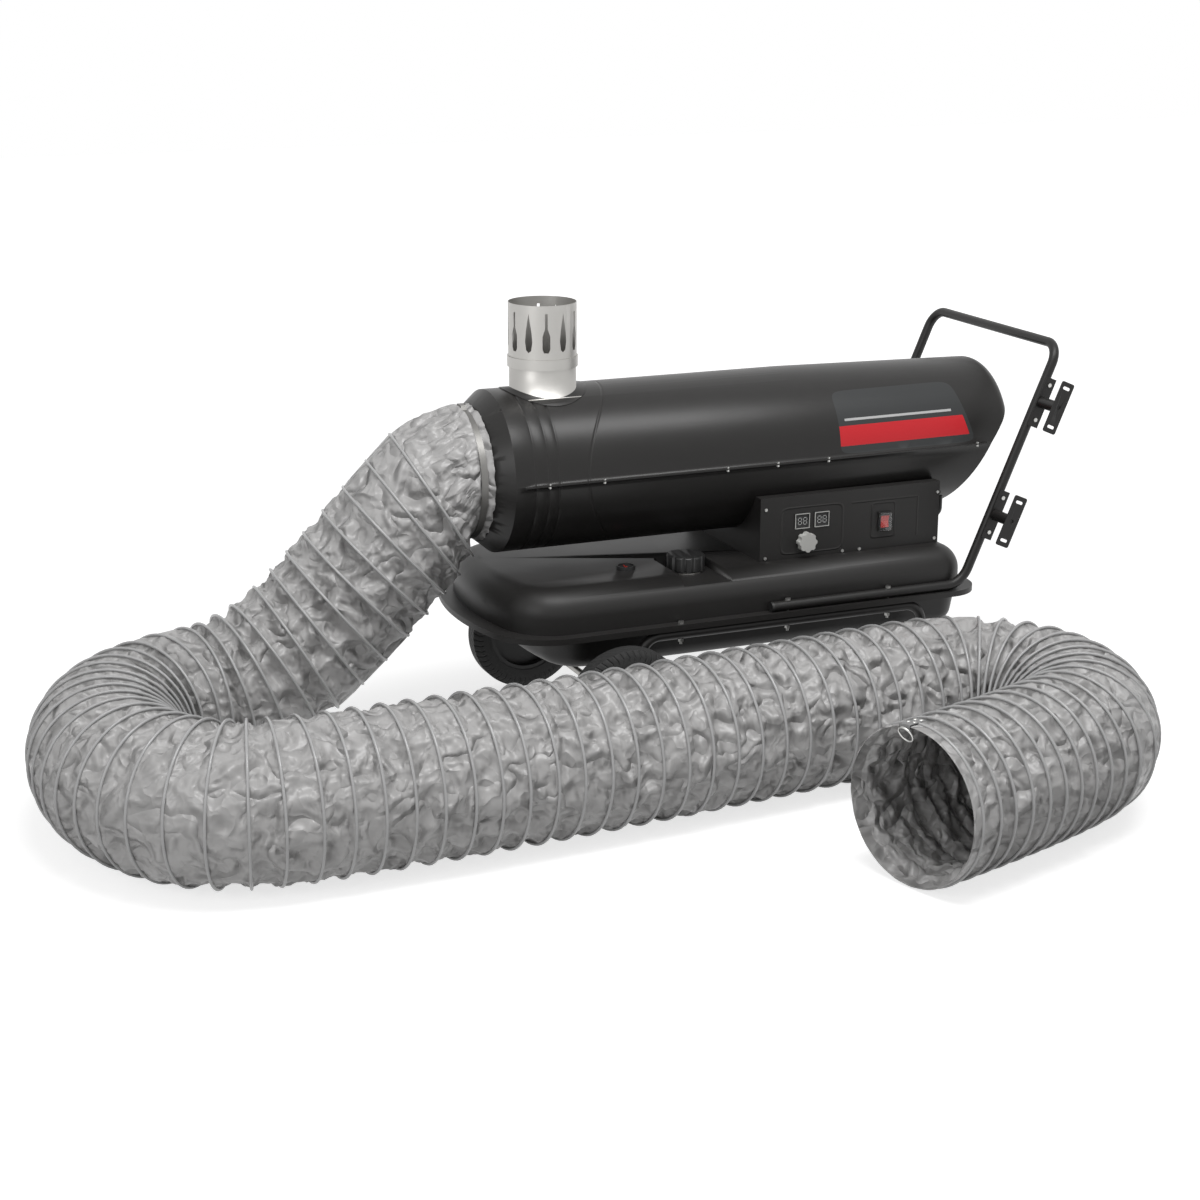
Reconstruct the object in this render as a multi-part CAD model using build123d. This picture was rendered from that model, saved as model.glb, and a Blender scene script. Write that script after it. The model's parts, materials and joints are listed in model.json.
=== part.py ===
from build123d import *
import math
import os

os.makedirs("parts", exist_ok=True)

# Indirect fired space heater: a round sheet-metal casing over a saddle box and a fuel tank,
# on two wheels and a rear stand, with a tube handle and a long ribbed warm-air duct.
# Sizes are millimetres. Stations whose names end in _X are counted from the front edge of
# the casing toward the handle, Y runs across (the controls face -Y) and Z is up from the
# floor. Every finished piece is then moved by MID_X, which puts the origin on the floor
# under the middle of the heater.

# Shared fits
SEAT = 0.3            # gap under a curved face that rests on another
RUN = 0.05            # radial clearance of a shaft in its bore

# Casing
CASING_R = 179.5
CASING_Z = 612.0
SHEET = 1.5
JOINT_X = 697.0       # front and rear upper shells meet here
JOINT_LAP = 16.0
TAPER_X = 720.0
REAR_R = 169.2
HOOD_END_X = 1242.0
HOOD_SHOULDER_R = 30.0
REAR_CUT_X = 1186.2
HOOD_SLOPE = 0.68
BELLY_SLOPE = 0.52
LEDGE = 8.0           # seam ledge standing out from the shells
LEDGE_FRONT_X = 20.0
LEDGE_REAR_GAP = 16.0

# Outlet cone and spigot
CONE_LEN = 36.0
CONE_R = 150.0
SPIGOT_R = 139.0
SPIGOT_LEN = 31.0
SKIRT_LEN = 25.0

# Flue
FLUE_X = 131.7
FLUE_R = 75.0
FLUE_SHEET = 1.2
COWL_BOTTOM_Z = 838.0
COWL_TOP_Z = 978.0
COWL_BAND_H = 23.0
COWL_BAND_OUT = 2.5
STUB_TOP_Z = 850.0
SADDLE_RING_R = 96.0
VENT_COUNT = 12
VENT_BOTTOM_Z = 876.0
VENT_H = 85.0
VENT_W = 17.0

# Combustion drum, burner, motor and fan
DRUM_R = 125.0
DRUM_FRONT_X = 45.0
DRUM_REAR_X = 800.0
DRUM_SHEET = 2.0
CRADLE_X = (250.0, 600.0)
BURNER_R = 45.0
BURNER_FLANGE_R = 70.0
BURNER_LEN = 80.0
MOTOR_R = 58.0
MOTOR_FRONT_X = 925.0
MOTOR_LEN = 90.0
PUMP_R = 36.0
PIPE_R = 4.0
PIPE_Y = 20.0
SHAFT_R = 7.0
FAN_X = 1030.0
FAN_HUB_R = 28.0
FAN_HUB_LEN = 30.0
FAN_TIP_R = 158.0
FAN_BLADES = 5
FAN_PITCH = 32.0
BLADE_W = 74.0
BLADE_T = 2.0
ARM_W = 18.0
GUARD_X = 1084.0
GUARD_BAR = 3.0
GUARD_PITCH = 20.0

# Tank
TANK_FRONT_X = -80.0
TANK_REAR_X = 1114.0
TANK_HALF_W = 285.0
TANK_NOSE_R = 700.0
TANK_FRONT_CORNER = 145.0
TANK_REAR_CORNER = 80.0
RIM_Z = 286.0
RIM_T = 6.5           # each half of the rim
TANK_WALL = 1.5
DECK_Z = 392.0
DECK_SIDE_INSET = 26.5
DECK_FRONT_INSET = 36.0
DECK_REAR_INSET = 30.0
DECK_FILLET = 58.0
BELLY_HALF_W = 228.0
BELLY_FRONT_X = 45.0
BELLY_REAR_X = 1094.0
BELLY_Z = 200.0
BELLY_DRAW = 13.0
BELLY_FILLET = 36.0
POCKET_W = 117.0
POCKET_DEPTH = 20.0
POCKET_BACK_Y = -66.0

# Filler, cap and gauge
FILLER_X = 425.0
FILLER_Y = -124.0
NECK_R = 30.0
NECK_H = 24.0
NECK_WALL = 2.0
STRAINER_LEN = 70.0
CAP_R = 43.0
CAP_H = 33.0
CAP_LIFT = 3.0        # cap skirt above the pocket floor
CAP_NOTCHES = 12
GAUGE_X = 277.0
GAUGE_Y = -128.0
GAUGE_R = 21.0
GAUGE_H = 9.0
GAUGE_ROD_R = 5.0
FLOAT_R = 20.0
FLOAT_H = 24.0

# Saddle box with the controls
BOX_FRONT_X = 577.0
BOX_REAR_X = 1038.0
BOX_HALF_W = 190.0
BOX_TOP_Z = 535.4
BOX_SHEET = 1.5
SADDLE_T = 2.5
BOX_FOOT = 22.0
KNOB_X = 691.0
KNOB_Z = 429.4
KNOB_R = 22.5
KNOB_H = 17.0
KNOB_SHAFT_R = 3.0
DISPLAY_XS = (681.8, 731.4)
DISPLAY_Z = 477.2
DISPLAY_W = 36.0
DISPLAY_H = 34.0
DISPLAY_PROUD = 2.5
ROCKER_X = 893.8
ROCKER_Z = 456.0
ROCKER_W = 32.0
ROCKER_H = 44.0
ROCKER_PIN_R = 1.5
ROCKER_PIN_IN = 1.0   # pivot behind the face of the panel
COIL_X = 700.0        # ignition transformer
COIL_Y = 60.0
COIL_LEN = 120.0
COIL_W = 80.0
COIL_H = 36.0
LOUVRES = 6

# Handle, wheels and stand
TUBE_R = 11.0
TUBE_Y = 270.0        # handle legs and under-frame tubes stand in these planes
HANDLE_BAR_X = 1287.0
HANDLE_BAR_Z = 848.5
HANDLE_FOOT_X = 1057.0
HANDLE_START_X = 572.0
HANDLE_BEND_R = 45.0
HANDLE_FOOT_BEND_R = 60.0
FRAME_BEND_R = 42.0
FRAME_FRONT_X = 268.0
FRAME_REAR_X = 951.0
STAND_X = 968.0
STAND_BAR_Z = 60.0
FOOT_H = 10.0
FOOT_R = 15.0
AXLE_X = 203.0
AXLE_R = 8.0
WHEEL_R = 135.0
WHEEL_W = 50.0
WHEEL_IN_Y = 284.0
RIM_R = 92.0
RIM_WEB = 10.0
HUB_R = 24.0
AXLE_CAP_R = 17.0
AXLE_CAP_H = 9.0
LUG_T = 8.0

# Cord-wrap brackets on the near leg
WRAP_ZS = (722.0, 469.0)
WRAP_OFFSET = 7.0
WRAP_PLATE_T = 2.5
WRAP_LEG_W = 28.0
WRAP_LEG_L = 117.0
WRAP_OUT_W = 35.0
WRAP_OUT_L = 120.0
WRAP_REACH = 69.0
WRAP_POST_R = 13.0

# Warm-air duct: route of the centre line from the first wire ring to the open mouth
DUCT_ROUTE = (
    (-130, 0, 569.5), (-396, 41, 258), (-590, 27, 163.6), (-721, -3, 163.6),
    (-860, -100, 163.6), (-914, -260, 163.6), (-902, -436, 163.6), (-796, -597, 163.6),
    (-622, -637, 163.6), (-150, -620, 163.6), (334, -579, 163.6), (742, -536, 163.6),
    (879, -543, 163.6), (981, -616, 163.6), (1024, -734, 163.6), (996, -855, 163.6),
    (895, -980, 163.6), (454, -1109, 163.6),
)
DUCT_STRETCHES = ((13, 68.0), (16, 50.0), (28, 61.0), (20, 50.0))   # ribs and their pitch
DUCT_SPANS = 11       # the hose is lofted in this many spans
DUCT_FIRST_RIB = 1    # the first wire stands inside the cuff
DUCT_HANG_TILTS = (32.0, 38.0, 41.0, 42.5, 42.6, 40.0, 35.0, 29.0)
DUCT_R = 163.3
DUCT_VALLEY_R = 156.0
DUCT_BORE_R = 149.0
CUFF_GAP = 0.5        # between the cone and the edge of the cuff
CUFF_WALL = 2.5
CUFF_MID_X = -121.0
CUFF_MID_Z = 578.0
CUFF_MID_R = 160.0
CUFF_DROOP = 20.0
CLAMP_SETBACK = 21.0  # middle of the clamp from the end of the cone
CLAMP_W = 15.0
CLAMP_T = 1.5
HEM_LEN = 22.0
HEM_WALL = 3.0

MID_X = (HANDLE_BAR_X + TUBE_R + TANK_FRONT_X) / 2


def at_x(x, y=0.0, z=0.0):
    """Plane facing +X with local x along Y and local y along Z."""
    return Plane(origin=(x, y, z), x_dir=(0, 1, 0), z_dir=(1, 0, 0))


def turned(points):
    """Ring or disc turned about the casing axis from (station, radius) corners."""
    profile = make_face(Polyline(*points, close=True))
    return Pos(0, 0, CASING_Z) * revolve(Plane.XZ * profile, axis=Axis.X)


def side_prism(points, half=400.0):
    """Prism of an X-Z outline that runs across the heater."""
    return extrude(Plane.XZ * make_face(Polyline(*points, close=True)), half, both=True)


def casing_radius(x):
    """Outer casing radius at a station."""
    shoulder_x = HOOD_END_X - HOOD_SHOULDER_R
    share = max(0.0, x - TAPER_X) / (shoulder_x - TAPER_X)
    return CASING_R - share * (CASING_R - REAR_R)


def casing_core(inset):
    """Space inside the casing skin: barrel, slight taper and a rounded rear shoulder."""
    shoulder_x = HOOD_END_X - HOOD_SHOULDER_R
    bend = HOOD_SHOULDER_R - inset
    mouth = REAR_R - HOOD_SHOULDER_R
    end_x = HOOD_END_X + (2.0 if inset > 0 else 0.0)
    start_x = -2.0 if inset > 0 else 0.0
    slant = math.sqrt(0.5)
    walls = Polyline((start_x, 0), (start_x, CASING_R - inset),
                     (TAPER_X, CASING_R - inset), (shoulder_x, REAR_R - inset))
    walls += ThreePointArc((shoulder_x, REAR_R - inset),
                           (shoulder_x + bend * slant, mouth + bend * slant),
                           (shoulder_x + bend, mouth))
    tail = [(shoulder_x + bend, mouth), (end_x, mouth), (end_x, 0), (start_x, 0)]
    if inset <= 0:
        tail.pop(1)
    walls += Polyline(*tail)
    return Pos(0, 0, CASING_Z) * revolve(Plane.XZ * make_face(walls), axis=Axis.X)


def barrel(r, x0, x1):
    """Plain cylinder on the casing axis."""
    return Pos((x0 + x1) / 2, 0, CASING_Z) * Rot(0, 90, 0) * Cylinder(r, x1 - x0)


def ledges(x0, x1, z0):
    """Seam ledges on both sides, following the taper of the shells."""
    stations = [x0, x1] if x0 >= TAPER_X or x1 <= TAPER_X else [x0, TAPER_X, x1]
    outer = [(x, casing_radius(x) + LEDGE) for x in stations]
    inner = [(x, casing_radius(x) - SHEET / 2) for x in reversed(stations)]
    strip = extrude(Pos(0, 0, z0) * make_face(Polyline(*outer, *inner, close=True)), SHEET)
    return strip + mirror(strip, about=Plane.XZ)


def flue_bore(r, z0, z1):
    """Cylinder on the flue axis."""
    return Pos(FLUE_X, 0, (z0 + z1) / 2) * Cylinder(r, z1 - z0)


def upper_shells(skin):
    """Front and rear upper half shells with their seam ledges and the lap at the joint."""
    top_z = CASING_Z + CASING_R + 20
    low = CASING_Z
    front_half = side_prism([(0, low), (JOINT_X, low), (JOINT_X, top_z), (0, top_z)])
    front = (skin & front_half) + ledges(LEDGE_FRONT_X, JOINT_X, CASING_Z)
    lap_r = CASING_R - SHEET - SEAT
    lap = barrel(lap_r, JOINT_X - JOINT_LAP, JOINT_X + JOINT_LAP)
    lap -= barrel(lap_r - SHEET, JOINT_X - JOINT_LAP - 1, JOINT_X + JOINT_LAP + 1)
    step = barrel(CASING_R - SHEET / 2, JOINT_X - JOINT_LAP, JOINT_X)
    step -= barrel(lap_r - SHEET / 2, JOINT_X - JOINT_LAP - 1, JOINT_X + 1)
    above = side_prism([(0, low), (TAPER_X, low), (TAPER_X, top_z), (0, top_z)])
    front += (lap + step) & above
    front -= flue_bore(FLUE_R - 2 * FLUE_SHEET - SEAT, CASING_Z + 60, top_z)
    rise = top_z - low
    rear_half = side_prism([(JOINT_X, low), (REAR_CUT_X, low),
                            (REAR_CUT_X + HOOD_SLOPE * rise, top_z), (JOINT_X, top_z)])
    rear = (skin & rear_half) + ledges(JOINT_X, REAR_CUT_X - LEDGE_REAR_GAP, CASING_Z)
    return front, rear


def lower_shell(skin):
    """Lower half shell, cut back on a slant under the intake."""
    depth = CASING_R + 20
    belly = side_prism([(0, CASING_Z), (REAR_CUT_X, CASING_Z),
                        (REAR_CUT_X - BELLY_SLOPE * depth, CASING_Z - depth),
                        (0, CASING_Z - depth)])
    shell = skin & belly
    shell -= Pos(pump_middle(), PIPE_Y, CASING_Z - CASING_R) * Cylinder(PIPE_R + SEAT, 80)
    return shell + ledges(LEDGE_FRONT_X, REAR_CUT_X - LEDGE_REAR_GAP, CASING_Z - SHEET)


def outlet_cone():
    """Front cone with the spigot that the duct is clamped on, its skirt inside the shells."""
    skirt_r = CASING_R - SHEET - SEAT
    end_x = -CONE_LEN - SPIGOT_LEN
    return turned([
        (SKIRT_LEN, skirt_r), (0, skirt_r), (0, CASING_R), (-CONE_LEN, CONE_R),
        (-CONE_LEN, SPIGOT_R), (end_x, SPIGOT_R), (end_x, SPIGOT_R - SHEET),
        (-CONE_LEN + SHEET, SPIGOT_R - SHEET), (-CONE_LEN + SHEET, CONE_R - SHEET),
        (-SHEET / 2, skirt_r - SHEET), (SKIRT_LEN, skirt_r - SHEET)])


def flue_stub():
    """Upright collar with a curved saddle ring that lies on the upper shell."""
    outer_r = FLUE_R - FLUE_SHEET - SEAT
    skin_r = CASING_R + SEAT
    saddle = barrel(skin_r + FLUE_SHEET, FLUE_X - SADDLE_RING_R, FLUE_X + SADDLE_RING_R)
    saddle &= flue_bore(SADDLE_RING_R, CASING_Z + 60, STUB_TOP_Z)
    stub = saddle + flue_bore(outer_r, CASING_Z + 60, STUB_TOP_Z)
    stub -= barrel(skin_r, FLUE_X - 2 * SADDLE_RING_R, FLUE_X + 2 * SADDLE_RING_R)
    return stub - flue_bore(outer_r - FLUE_SHEET, CASING_Z, STUB_TOP_Z + 1)


def vent_outline(bottle):
    """Half of the cowl openings are flames, the others bottles with a narrow neck."""
    w, h = VENT_W / 2, VENT_H
    if bottle:
        side = [(0.35 * w, h), (0.35 * w, 0.62 * h), (w, 0.42 * h), (w, 0.1 * h), (0.6 * w, 0)]
    else:
        side = [(0, h), (0.75 * w, 0.55 * h), (w, 0.28 * h), (0.7 * w, 0.06 * h), (0, 0)]
    other = [(-x, z) for x, z in reversed(side) if x > 0]
    return make_face(Polyline(*side, *other, close=True))


def flue_cowl():
    """Open-topped cowl with a swaged band at its foot and pressed-out draught openings."""
    cowl = flue_bore(FLUE_R, COWL_BOTTOM_Z, COWL_TOP_Z)
    cowl += flue_bore(FLUE_R + COWL_BAND_OUT, COWL_BOTTOM_Z, COWL_BOTTOM_Z + COWL_BAND_H)
    cowl -= flue_bore(FLUE_R - FLUE_SHEET, COWL_BOTTOM_Z - 1, COWL_TOP_Z + 1)
    for k in range(VENT_COUNT):
        face = Plane.XZ * vent_outline(k % 2 == 1)
        cutter = Pos(0, -FLUE_R / 2, VENT_BOTTOM_Z) * extrude(face, FLUE_R)
        cowl -= Pos(FLUE_X, 0, 0) * Rot(0, 0, (k + 0.5) * 360 / VENT_COUNT) * cutter
    return cowl


def combustion_drum():
    """Closed sheet drum with a flue collar through the casing and a hole for the burner."""
    drum = barrel(DRUM_R, DRUM_FRONT_X, DRUM_REAR_X)
    collar_r = FLUE_R - 2 * FLUE_SHEET - 2 * SEAT
    top_z = CASING_Z + CASING_R + 12
    drum += flue_bore(collar_r, CASING_Z + 60, top_z)
    drum -= barrel(DRUM_R - DRUM_SHEET, DRUM_FRONT_X + DRUM_SHEET, DRUM_REAR_X - DRUM_SHEET)
    drum -= flue_bore(collar_r - DRUM_SHEET, CASING_Z + 60, top_z + 1)
    return drum - barrel(BURNER_R + SEAT, DRUM_REAR_X - 10, DRUM_REAR_X + 1)


def drum_cradles():
    """Two curved plates that carry the drum on the lower shell."""
    plates = None
    outer_r = CASING_R - SHEET - SEAT
    for x in CRADLE_X:
        face = Circle(outer_r) - Circle(DRUM_R + SEAT)
        wedge = Polyline((0, 0), (-outer_r, -outer_r), (0, -2 * outer_r), (outer_r, -outer_r),
                         close=True)
        plate = extrude(at_x(x, 0, CASING_Z) * (face & make_face(wedge)), DRUM_SHEET)
        plates = plate if plates is None else plates + plate
    return plates


def burner_head():
    """Cast burner: mounting flange on the drum, blast tube inside it and housing behind."""
    x = DRUM_REAR_X
    return turned([(x - 35, 0), (x - 35, BURNER_R), (x, BURNER_R), (x, BURNER_FLANGE_R),
                   (x + 5, BURNER_FLANGE_R), (x + 5, BURNER_R), (x + BURNER_LEN, BURNER_R),
                   (x + BURNER_LEN, 0)])


def pump_middle():
    """Station of the middle of the pump."""
    return (DRUM_REAR_X + BURNER_LEN + MOTOR_FRONT_X) / 2


def fuel_pump():
    """Gear pump with its filter bowl, face to face with the front of the motor."""
    body = barrel(PUMP_R, DRUM_REAR_X + BURNER_LEN, MOTOR_FRONT_X)
    valve = Pos(pump_middle(), 0, CASING_Z + PUMP_R + 8) * Cylinder(10, 34)
    return body + valve


def fan_motor():
    """Motor barrel with a bore for the fan shaft."""
    motor = barrel(MOTOR_R, MOTOR_FRONT_X, MOTOR_FRONT_X + MOTOR_LEN)
    end_x = MOTOR_FRONT_X + MOTOR_LEN
    return motor - barrel(SHAFT_R + RUN, end_x - 40, end_x + 1)


def motor_bracket():
    """Ring clamp round the motor with three arms out to the casing."""
    x = MOTOR_FRONT_X + MOTOR_LEN / 2
    ring = barrel(MOTOR_R + 12, x - 9, x + 9)
    reach = CASING_R
    for angle in (0, 120, 240):
        arm = Pos(0, 0, reach / 2 + 10) * Box(6, ARM_W, reach)
        ring += Pos(x, 0, CASING_Z) * Rot(angle, 0, 0) * arm
    ring -= barrel(MOTOR_R + SEAT, x - 20, x + 20)
    limit = casing_radius(x + 9) - SHEET - SEAT
    return ring & barrel(limit, x - 10, x + 10)


def fan_rotor():
    """Axial fan: pitched blades on a hub, one piece with the motor shaft."""
    middle = FAN_X + FAN_HUB_LEN / 2
    shaft_x = MOTOR_FRONT_X + MOTOR_LEN - 30
    fan = barrel(FAN_HUB_R, FAN_X, FAN_X + FAN_HUB_LEN) + barrel(SHAFT_R, shaft_x, FAN_X + 1)
    blade = extrude(make_face(Polyline(
        (-BLADE_W / 4, FAN_HUB_R - 6), (BLADE_W / 4, FAN_HUB_R - 6), (BLADE_W / 2, 90),
        (BLADE_W / 2.4, FAN_TIP_R), (-BLADE_W / 2, FAN_TIP_R - 14), (-BLADE_W / 2.6, 80),
        close=True)), BLADE_T / 2, both=True)
    for k in range(FAN_BLADES):
        pitched = Rot(0, 0, 0) * Rot(90, 0, 0) * blade
        turned_blade = Rot(0, 0, FAN_PITCH) * pitched
        fan += Pos(middle, 0, CASING_Z) * Rot(k * 360 / FAN_BLADES, 0, 0) * turned_blade
    return fan


def fan_guard():
    """Bar grille across the intake, sprung between the shells."""
    limit = casing_radius(GUARD_X) - SHEET - SEAT
    guard = None
    count = int(limit / GUARD_PITCH)
    for k in range(-count, count + 1):
        y = k * GUARD_PITCH
        reach = abs(y) + GUARD_BAR / 2
        half = math.sqrt(limit ** 2 - reach ** 2)
        if half < GUARD_PITCH:
            continue
        bar = Pos(GUARD_X, y, CASING_Z) * Box(GUARD_BAR, GUARD_BAR, 2 * half)
        guard = bar if guard is None else guard + bar
    for z in (-90.0, 0.0, 90.0):
        half = math.sqrt(limit ** 2 - (abs(z) + 4) ** 2)
        guard += Pos(GUARD_X - GUARD_BAR, 0, CASING_Z + z) * Box(GUARD_BAR, 2 * half, 8)
    return guard


def plan(front, rear, half, front_corner, rear_corner, nose):
    """Tank outline seen from above: bowed front end and rounded corners."""
    bow = nose - math.sqrt(nose ** 2 - half ** 2)
    sides = Polyline((front + bow, -half), (rear, -half), (rear, half), (front + bow, half))
    end = ThreePointArc((front + bow, half), (front, 0), (front + bow, -half))
    sheet = make_face(sides + end)
    fronts = sheet.vertices().sort_by(Axis.X)[:2]
    sheet = fillet(fronts, front_corner)
    rears = sheet.vertices().filter_by(lambda v: v.X > rear - 1)
    return fillet(rears, rear_corner)


def deck_plan(inset):
    """Outline of the raised part of the tank."""
    return plan(TANK_FRONT_X + DECK_FRONT_INSET + inset, TANK_REAR_X - DECK_REAR_INSET - inset,
                TANK_HALF_W - DECK_SIDE_INSET - inset,
                TANK_FRONT_CORNER - DECK_SIDE_INSET - inset,
                TANK_REAR_CORNER - DECK_SIDE_INSET / 2 - inset, TANK_NOSE_R - inset)


def deck_body(inset, bottom_z):
    """Raised upper half with its broad rounded shoulder."""
    top_z = DECK_Z - inset
    body = extrude(Pos(0, 0, bottom_z) * deck_plan(inset), top_z - bottom_z)
    return fillet(body.faces().sort_by(Axis.Z)[-1].edges(), DECK_FILLET - inset)


def filler_pocket(grow):
    """Flat pocket in the near shoulder that the filler stands in."""
    floor_z = DECK_Z - POCKET_DEPTH - grow
    y0, y1 = -TANK_HALF_W, POCKET_BACK_Y + grow
    block = Pos(FILLER_X, (y0 + y1) / 2, floor_z + 50) * Box(
        POCKET_W + 2 * grow, y1 - y0, 100)
    return fillet(block.edges().filter_by(Axis.Z).sort_by(Axis.Y)[-2:], 18 + grow)


def tank_upper():
    """Upper tank half: rim, raised body, filler pocket and the filler and gauge holes."""
    rim_z = RIM_Z + RIM_T
    rim = extrude(Pos(0, 0, rim_z) * plan(TANK_FRONT_X, TANK_REAR_X, TANK_HALF_W,
                                           TANK_FRONT_CORNER, TANK_REAR_CORNER, TANK_NOSE_R),
                  RIM_T)
    half = rim + deck_body(0, rim_z)
    half -= filler_pocket(0)
    space = deck_body(TANK_WALL, rim_z - 1) - filler_pocket(TANK_WALL)
    half -= space
    half -= Pos(FILLER_X, FILLER_Y, DECK_Z) * Cylinder(NECK_R, 100)
    half -= Pos(GAUGE_X, GAUGE_Y, DECK_Z) * Cylinder(GAUGE_ROD_R + SEAT, 20)
    for x, y in rim_bolts():
        half -= Pos(x, y, rim_z) * Cylinder(3.4, 40)
    return half


def belly(inset, top_z):
    """Lower half drawn in toward a flat bottom with rounded edges."""
    low = BELLY_DRAW
    top = plan(BELLY_FRONT_X + inset, BELLY_REAR_X - inset, BELLY_HALF_W - inset,
               100.0 - inset, 60.0 - inset, TANK_NOSE_R)
    bottom = plan(BELLY_FRONT_X + low + inset, BELLY_REAR_X - low - inset,
                  BELLY_HALF_W - low - inset, 90.0 - inset, 50.0 - inset, TANK_NOSE_R)
    body = loft([Pos(0, 0, top_z) * top, Pos(0, 0, BELLY_Z + inset) * bottom], ruled=True)
    return fillet(body.faces().sort_by(Axis.Z)[0].edges(), BELLY_FILLET - inset)


def tank_lower():
    """Lower tank half: rim and drawn belly, open inside."""
    rim = extrude(Pos(0, 0, RIM_Z) * plan(TANK_FRONT_X, TANK_REAR_X, TANK_HALF_W,
                                           TANK_FRONT_CORNER, TANK_REAR_CORNER, TANK_NOSE_R),
                  RIM_T)
    half = rim + belly(0, RIM_Z + 1)
    half -= belly(TANK_WALL, RIM_Z + RIM_T + 1)
    for x, y in rim_bolts():
        half -= Pos(x, y, RIM_Z) * Cylinder(3.4, 40)
    return half


def rim_bolts():
    """Bolts through the tank rim and the frame tubes; the rear two hold the handle too."""
    return [(x, s * TUBE_Y) for x in (347.0, 609.0, 864.0) for s in (-1, 1)]


def filler_neck():
    """Neck with a rolled edge and a strainer cup that hangs into the tank."""
    floor_z = DECK_Z - POCKET_DEPTH
    flange = Pos(0, 0, 1.5) * Cylinder(NECK_R + 8, 3)
    tube = Pos(0, 0, NECK_H / 2) * Cylinder(NECK_R - SEAT, NECK_H)
    strainer = Pos(0, 0, -STRAINER_LEN / 2) * Cylinder(NECK_R - SEAT, STRAINER_LEN)
    bore = Pos(0, 0, (NECK_H - STRAINER_LEN) / 2 + NECK_WALL) * Cylinder(
        NECK_R - SEAT - NECK_WALL, NECK_H + STRAINER_LEN)
    return Pos(FILLER_X, FILLER_Y, floor_z) * (flange + tube + strainer - bore)


def fuel_cap():
    """Scalloped screw cap, open below."""
    base_z = DECK_Z - POCKET_DEPTH + 3 + CAP_LIFT
    cap = Pos(0, 0, CAP_H / 2) * Cylinder(CAP_R, CAP_H)
    cap = chamfer(cap.edges().sort_by(Axis.Z)[-1], 3)
    notch = Cylinder(6, CAP_H + 1)
    for k in range(CAP_NOTCHES):
        a = 2 * math.pi * k / CAP_NOTCHES
        r = CAP_R + 2.5
        cap -= Pos(r * math.cos(a), r * math.sin(a), CAP_H / 2) * notch
    cap -= Pos(0, 0, (CAP_H - 6) / 2) * Cylinder(NECK_R + SEAT, CAP_H - 6)
    return Pos(FILLER_X, FILLER_Y, base_z) * cap


def cap_seal():
    """Flat rubber disc under the crown of the cap, resting on the neck."""
    z0 = DECK_Z - POCKET_DEPTH + NECK_H + SEAT
    z1 = DECK_Z - POCKET_DEPTH + 3 + CAP_LIFT + CAP_H - 6 - SEAT
    return Pos(FILLER_X, FILLER_Y, (z0 + z1) / 2) * Cylinder(NECK_R - SEAT, z1 - z0)


def gauge_body():
    """Round dial case on the deck with the rod that the float slides on."""
    case = Pos(0, 0, GAUGE_H / 2) * Cylinder(GAUGE_R, GAUGE_H)
    case -= Pos(0, 0, GAUGE_H) * Cylinder(GAUGE_R - 3, 2 * 4)
    rod_len = DECK_Z - BELLY_Z - 2 * TANK_WALL - SEAT
    rod = Pos(0, 0, -rod_len / 2) * Cylinder(GAUGE_ROD_R, rod_len)
    pivot = Pos(0, 0, GAUGE_H / 2) * Cylinder(1.5, GAUGE_H - 2)
    return Pos(GAUGE_X, GAUGE_Y, DECK_Z) * (case + rod + pivot)


def gauge_needle():
    """Pointer on the dial pivot."""
    eye = Cylinder(3.5, 1) - Cylinder(1.5 + RUN, 4)
    arm = Pos(0, GAUGE_R / 2 - 2, 0) * Box(1.6, GAUGE_R - 10, 1)
    return Pos(GAUGE_X, GAUGE_Y, DECK_Z + GAUGE_H - 4 + SEAT + 0.5) * (eye + arm)


def gauge_float():
    """Float ring on the gauge rod."""
    ring = Cylinder(FLOAT_R, FLOAT_H) - Cylinder(GAUGE_ROD_R + RUN, FLOAT_H + 2)
    top_z = DECK_Z - TANK_WALL - 8
    return Pos(GAUGE_X, GAUGE_Y, top_z - FLOAT_H / 2) * ring


def drain_plug():
    """Hexagon plug with a washer face under the tank."""
    plug = extrude(Pos(0, 0, -9) * RegularPolygon(11, 6), 8)
    plug += Pos(0, 0, -0.5) * Cylinder(14, 1)
    return Pos(150, 0, BELLY_Z) * plug


def saddle_wall(x, toward):
    """End wall of the saddle box: concave top under the casing, foot turned inward."""
    half = BOX_HALF_W - BOX_SHEET
    wall = Pos(0, (DECK_Z + BOX_TOP_Z) / 2) * Rectangle(2 * half, BOX_TOP_Z - DECK_Z)
    radius = casing_radius(x) + SEAT
    wall = extrude(at_x(x) * wall, toward * SADDLE_T) - barrel(radius, x - 40, x + 40)
    foot_x = x + toward * BOX_FOOT / 2
    foot = Pos(foot_x, 0, DECK_Z + SADDLE_T / 2) * Box(BOX_FOOT, 2 * half - 60, SADDLE_T)
    return wall + foot


def box_side_profile():
    """Section of the long side panels: foot, upright face and a hood edge to the casing."""
    y0 = BOX_HALF_W
    lip = BOX_TOP_Z - CASING_Z
    lip_y = math.sqrt((CASING_R + SEAT) ** 2 - lip ** 2)
    return [(-y0, DECK_Z), (-y0, BOX_TOP_Z + BOX_SHEET), (-lip_y - 1, BOX_TOP_Z + BOX_SHEET),
            (-lip_y - 1, BOX_TOP_Z), (-y0 + BOX_SHEET, BOX_TOP_Z), (-y0 + BOX_SHEET, DECK_Z)]


def box_side():
    """One long side panel of the saddle box, as it stands on the control side."""
    outline = make_face(Polyline(*box_side_profile(), close=True))
    side = extrude(at_x(BOX_FRONT_X) * outline, BOX_REAR_X - BOX_FRONT_X)
    clear = barrel(CASING_R + SEAT, BOX_FRONT_X - 1, BOX_REAR_X + 1)
    return side - clear


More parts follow.
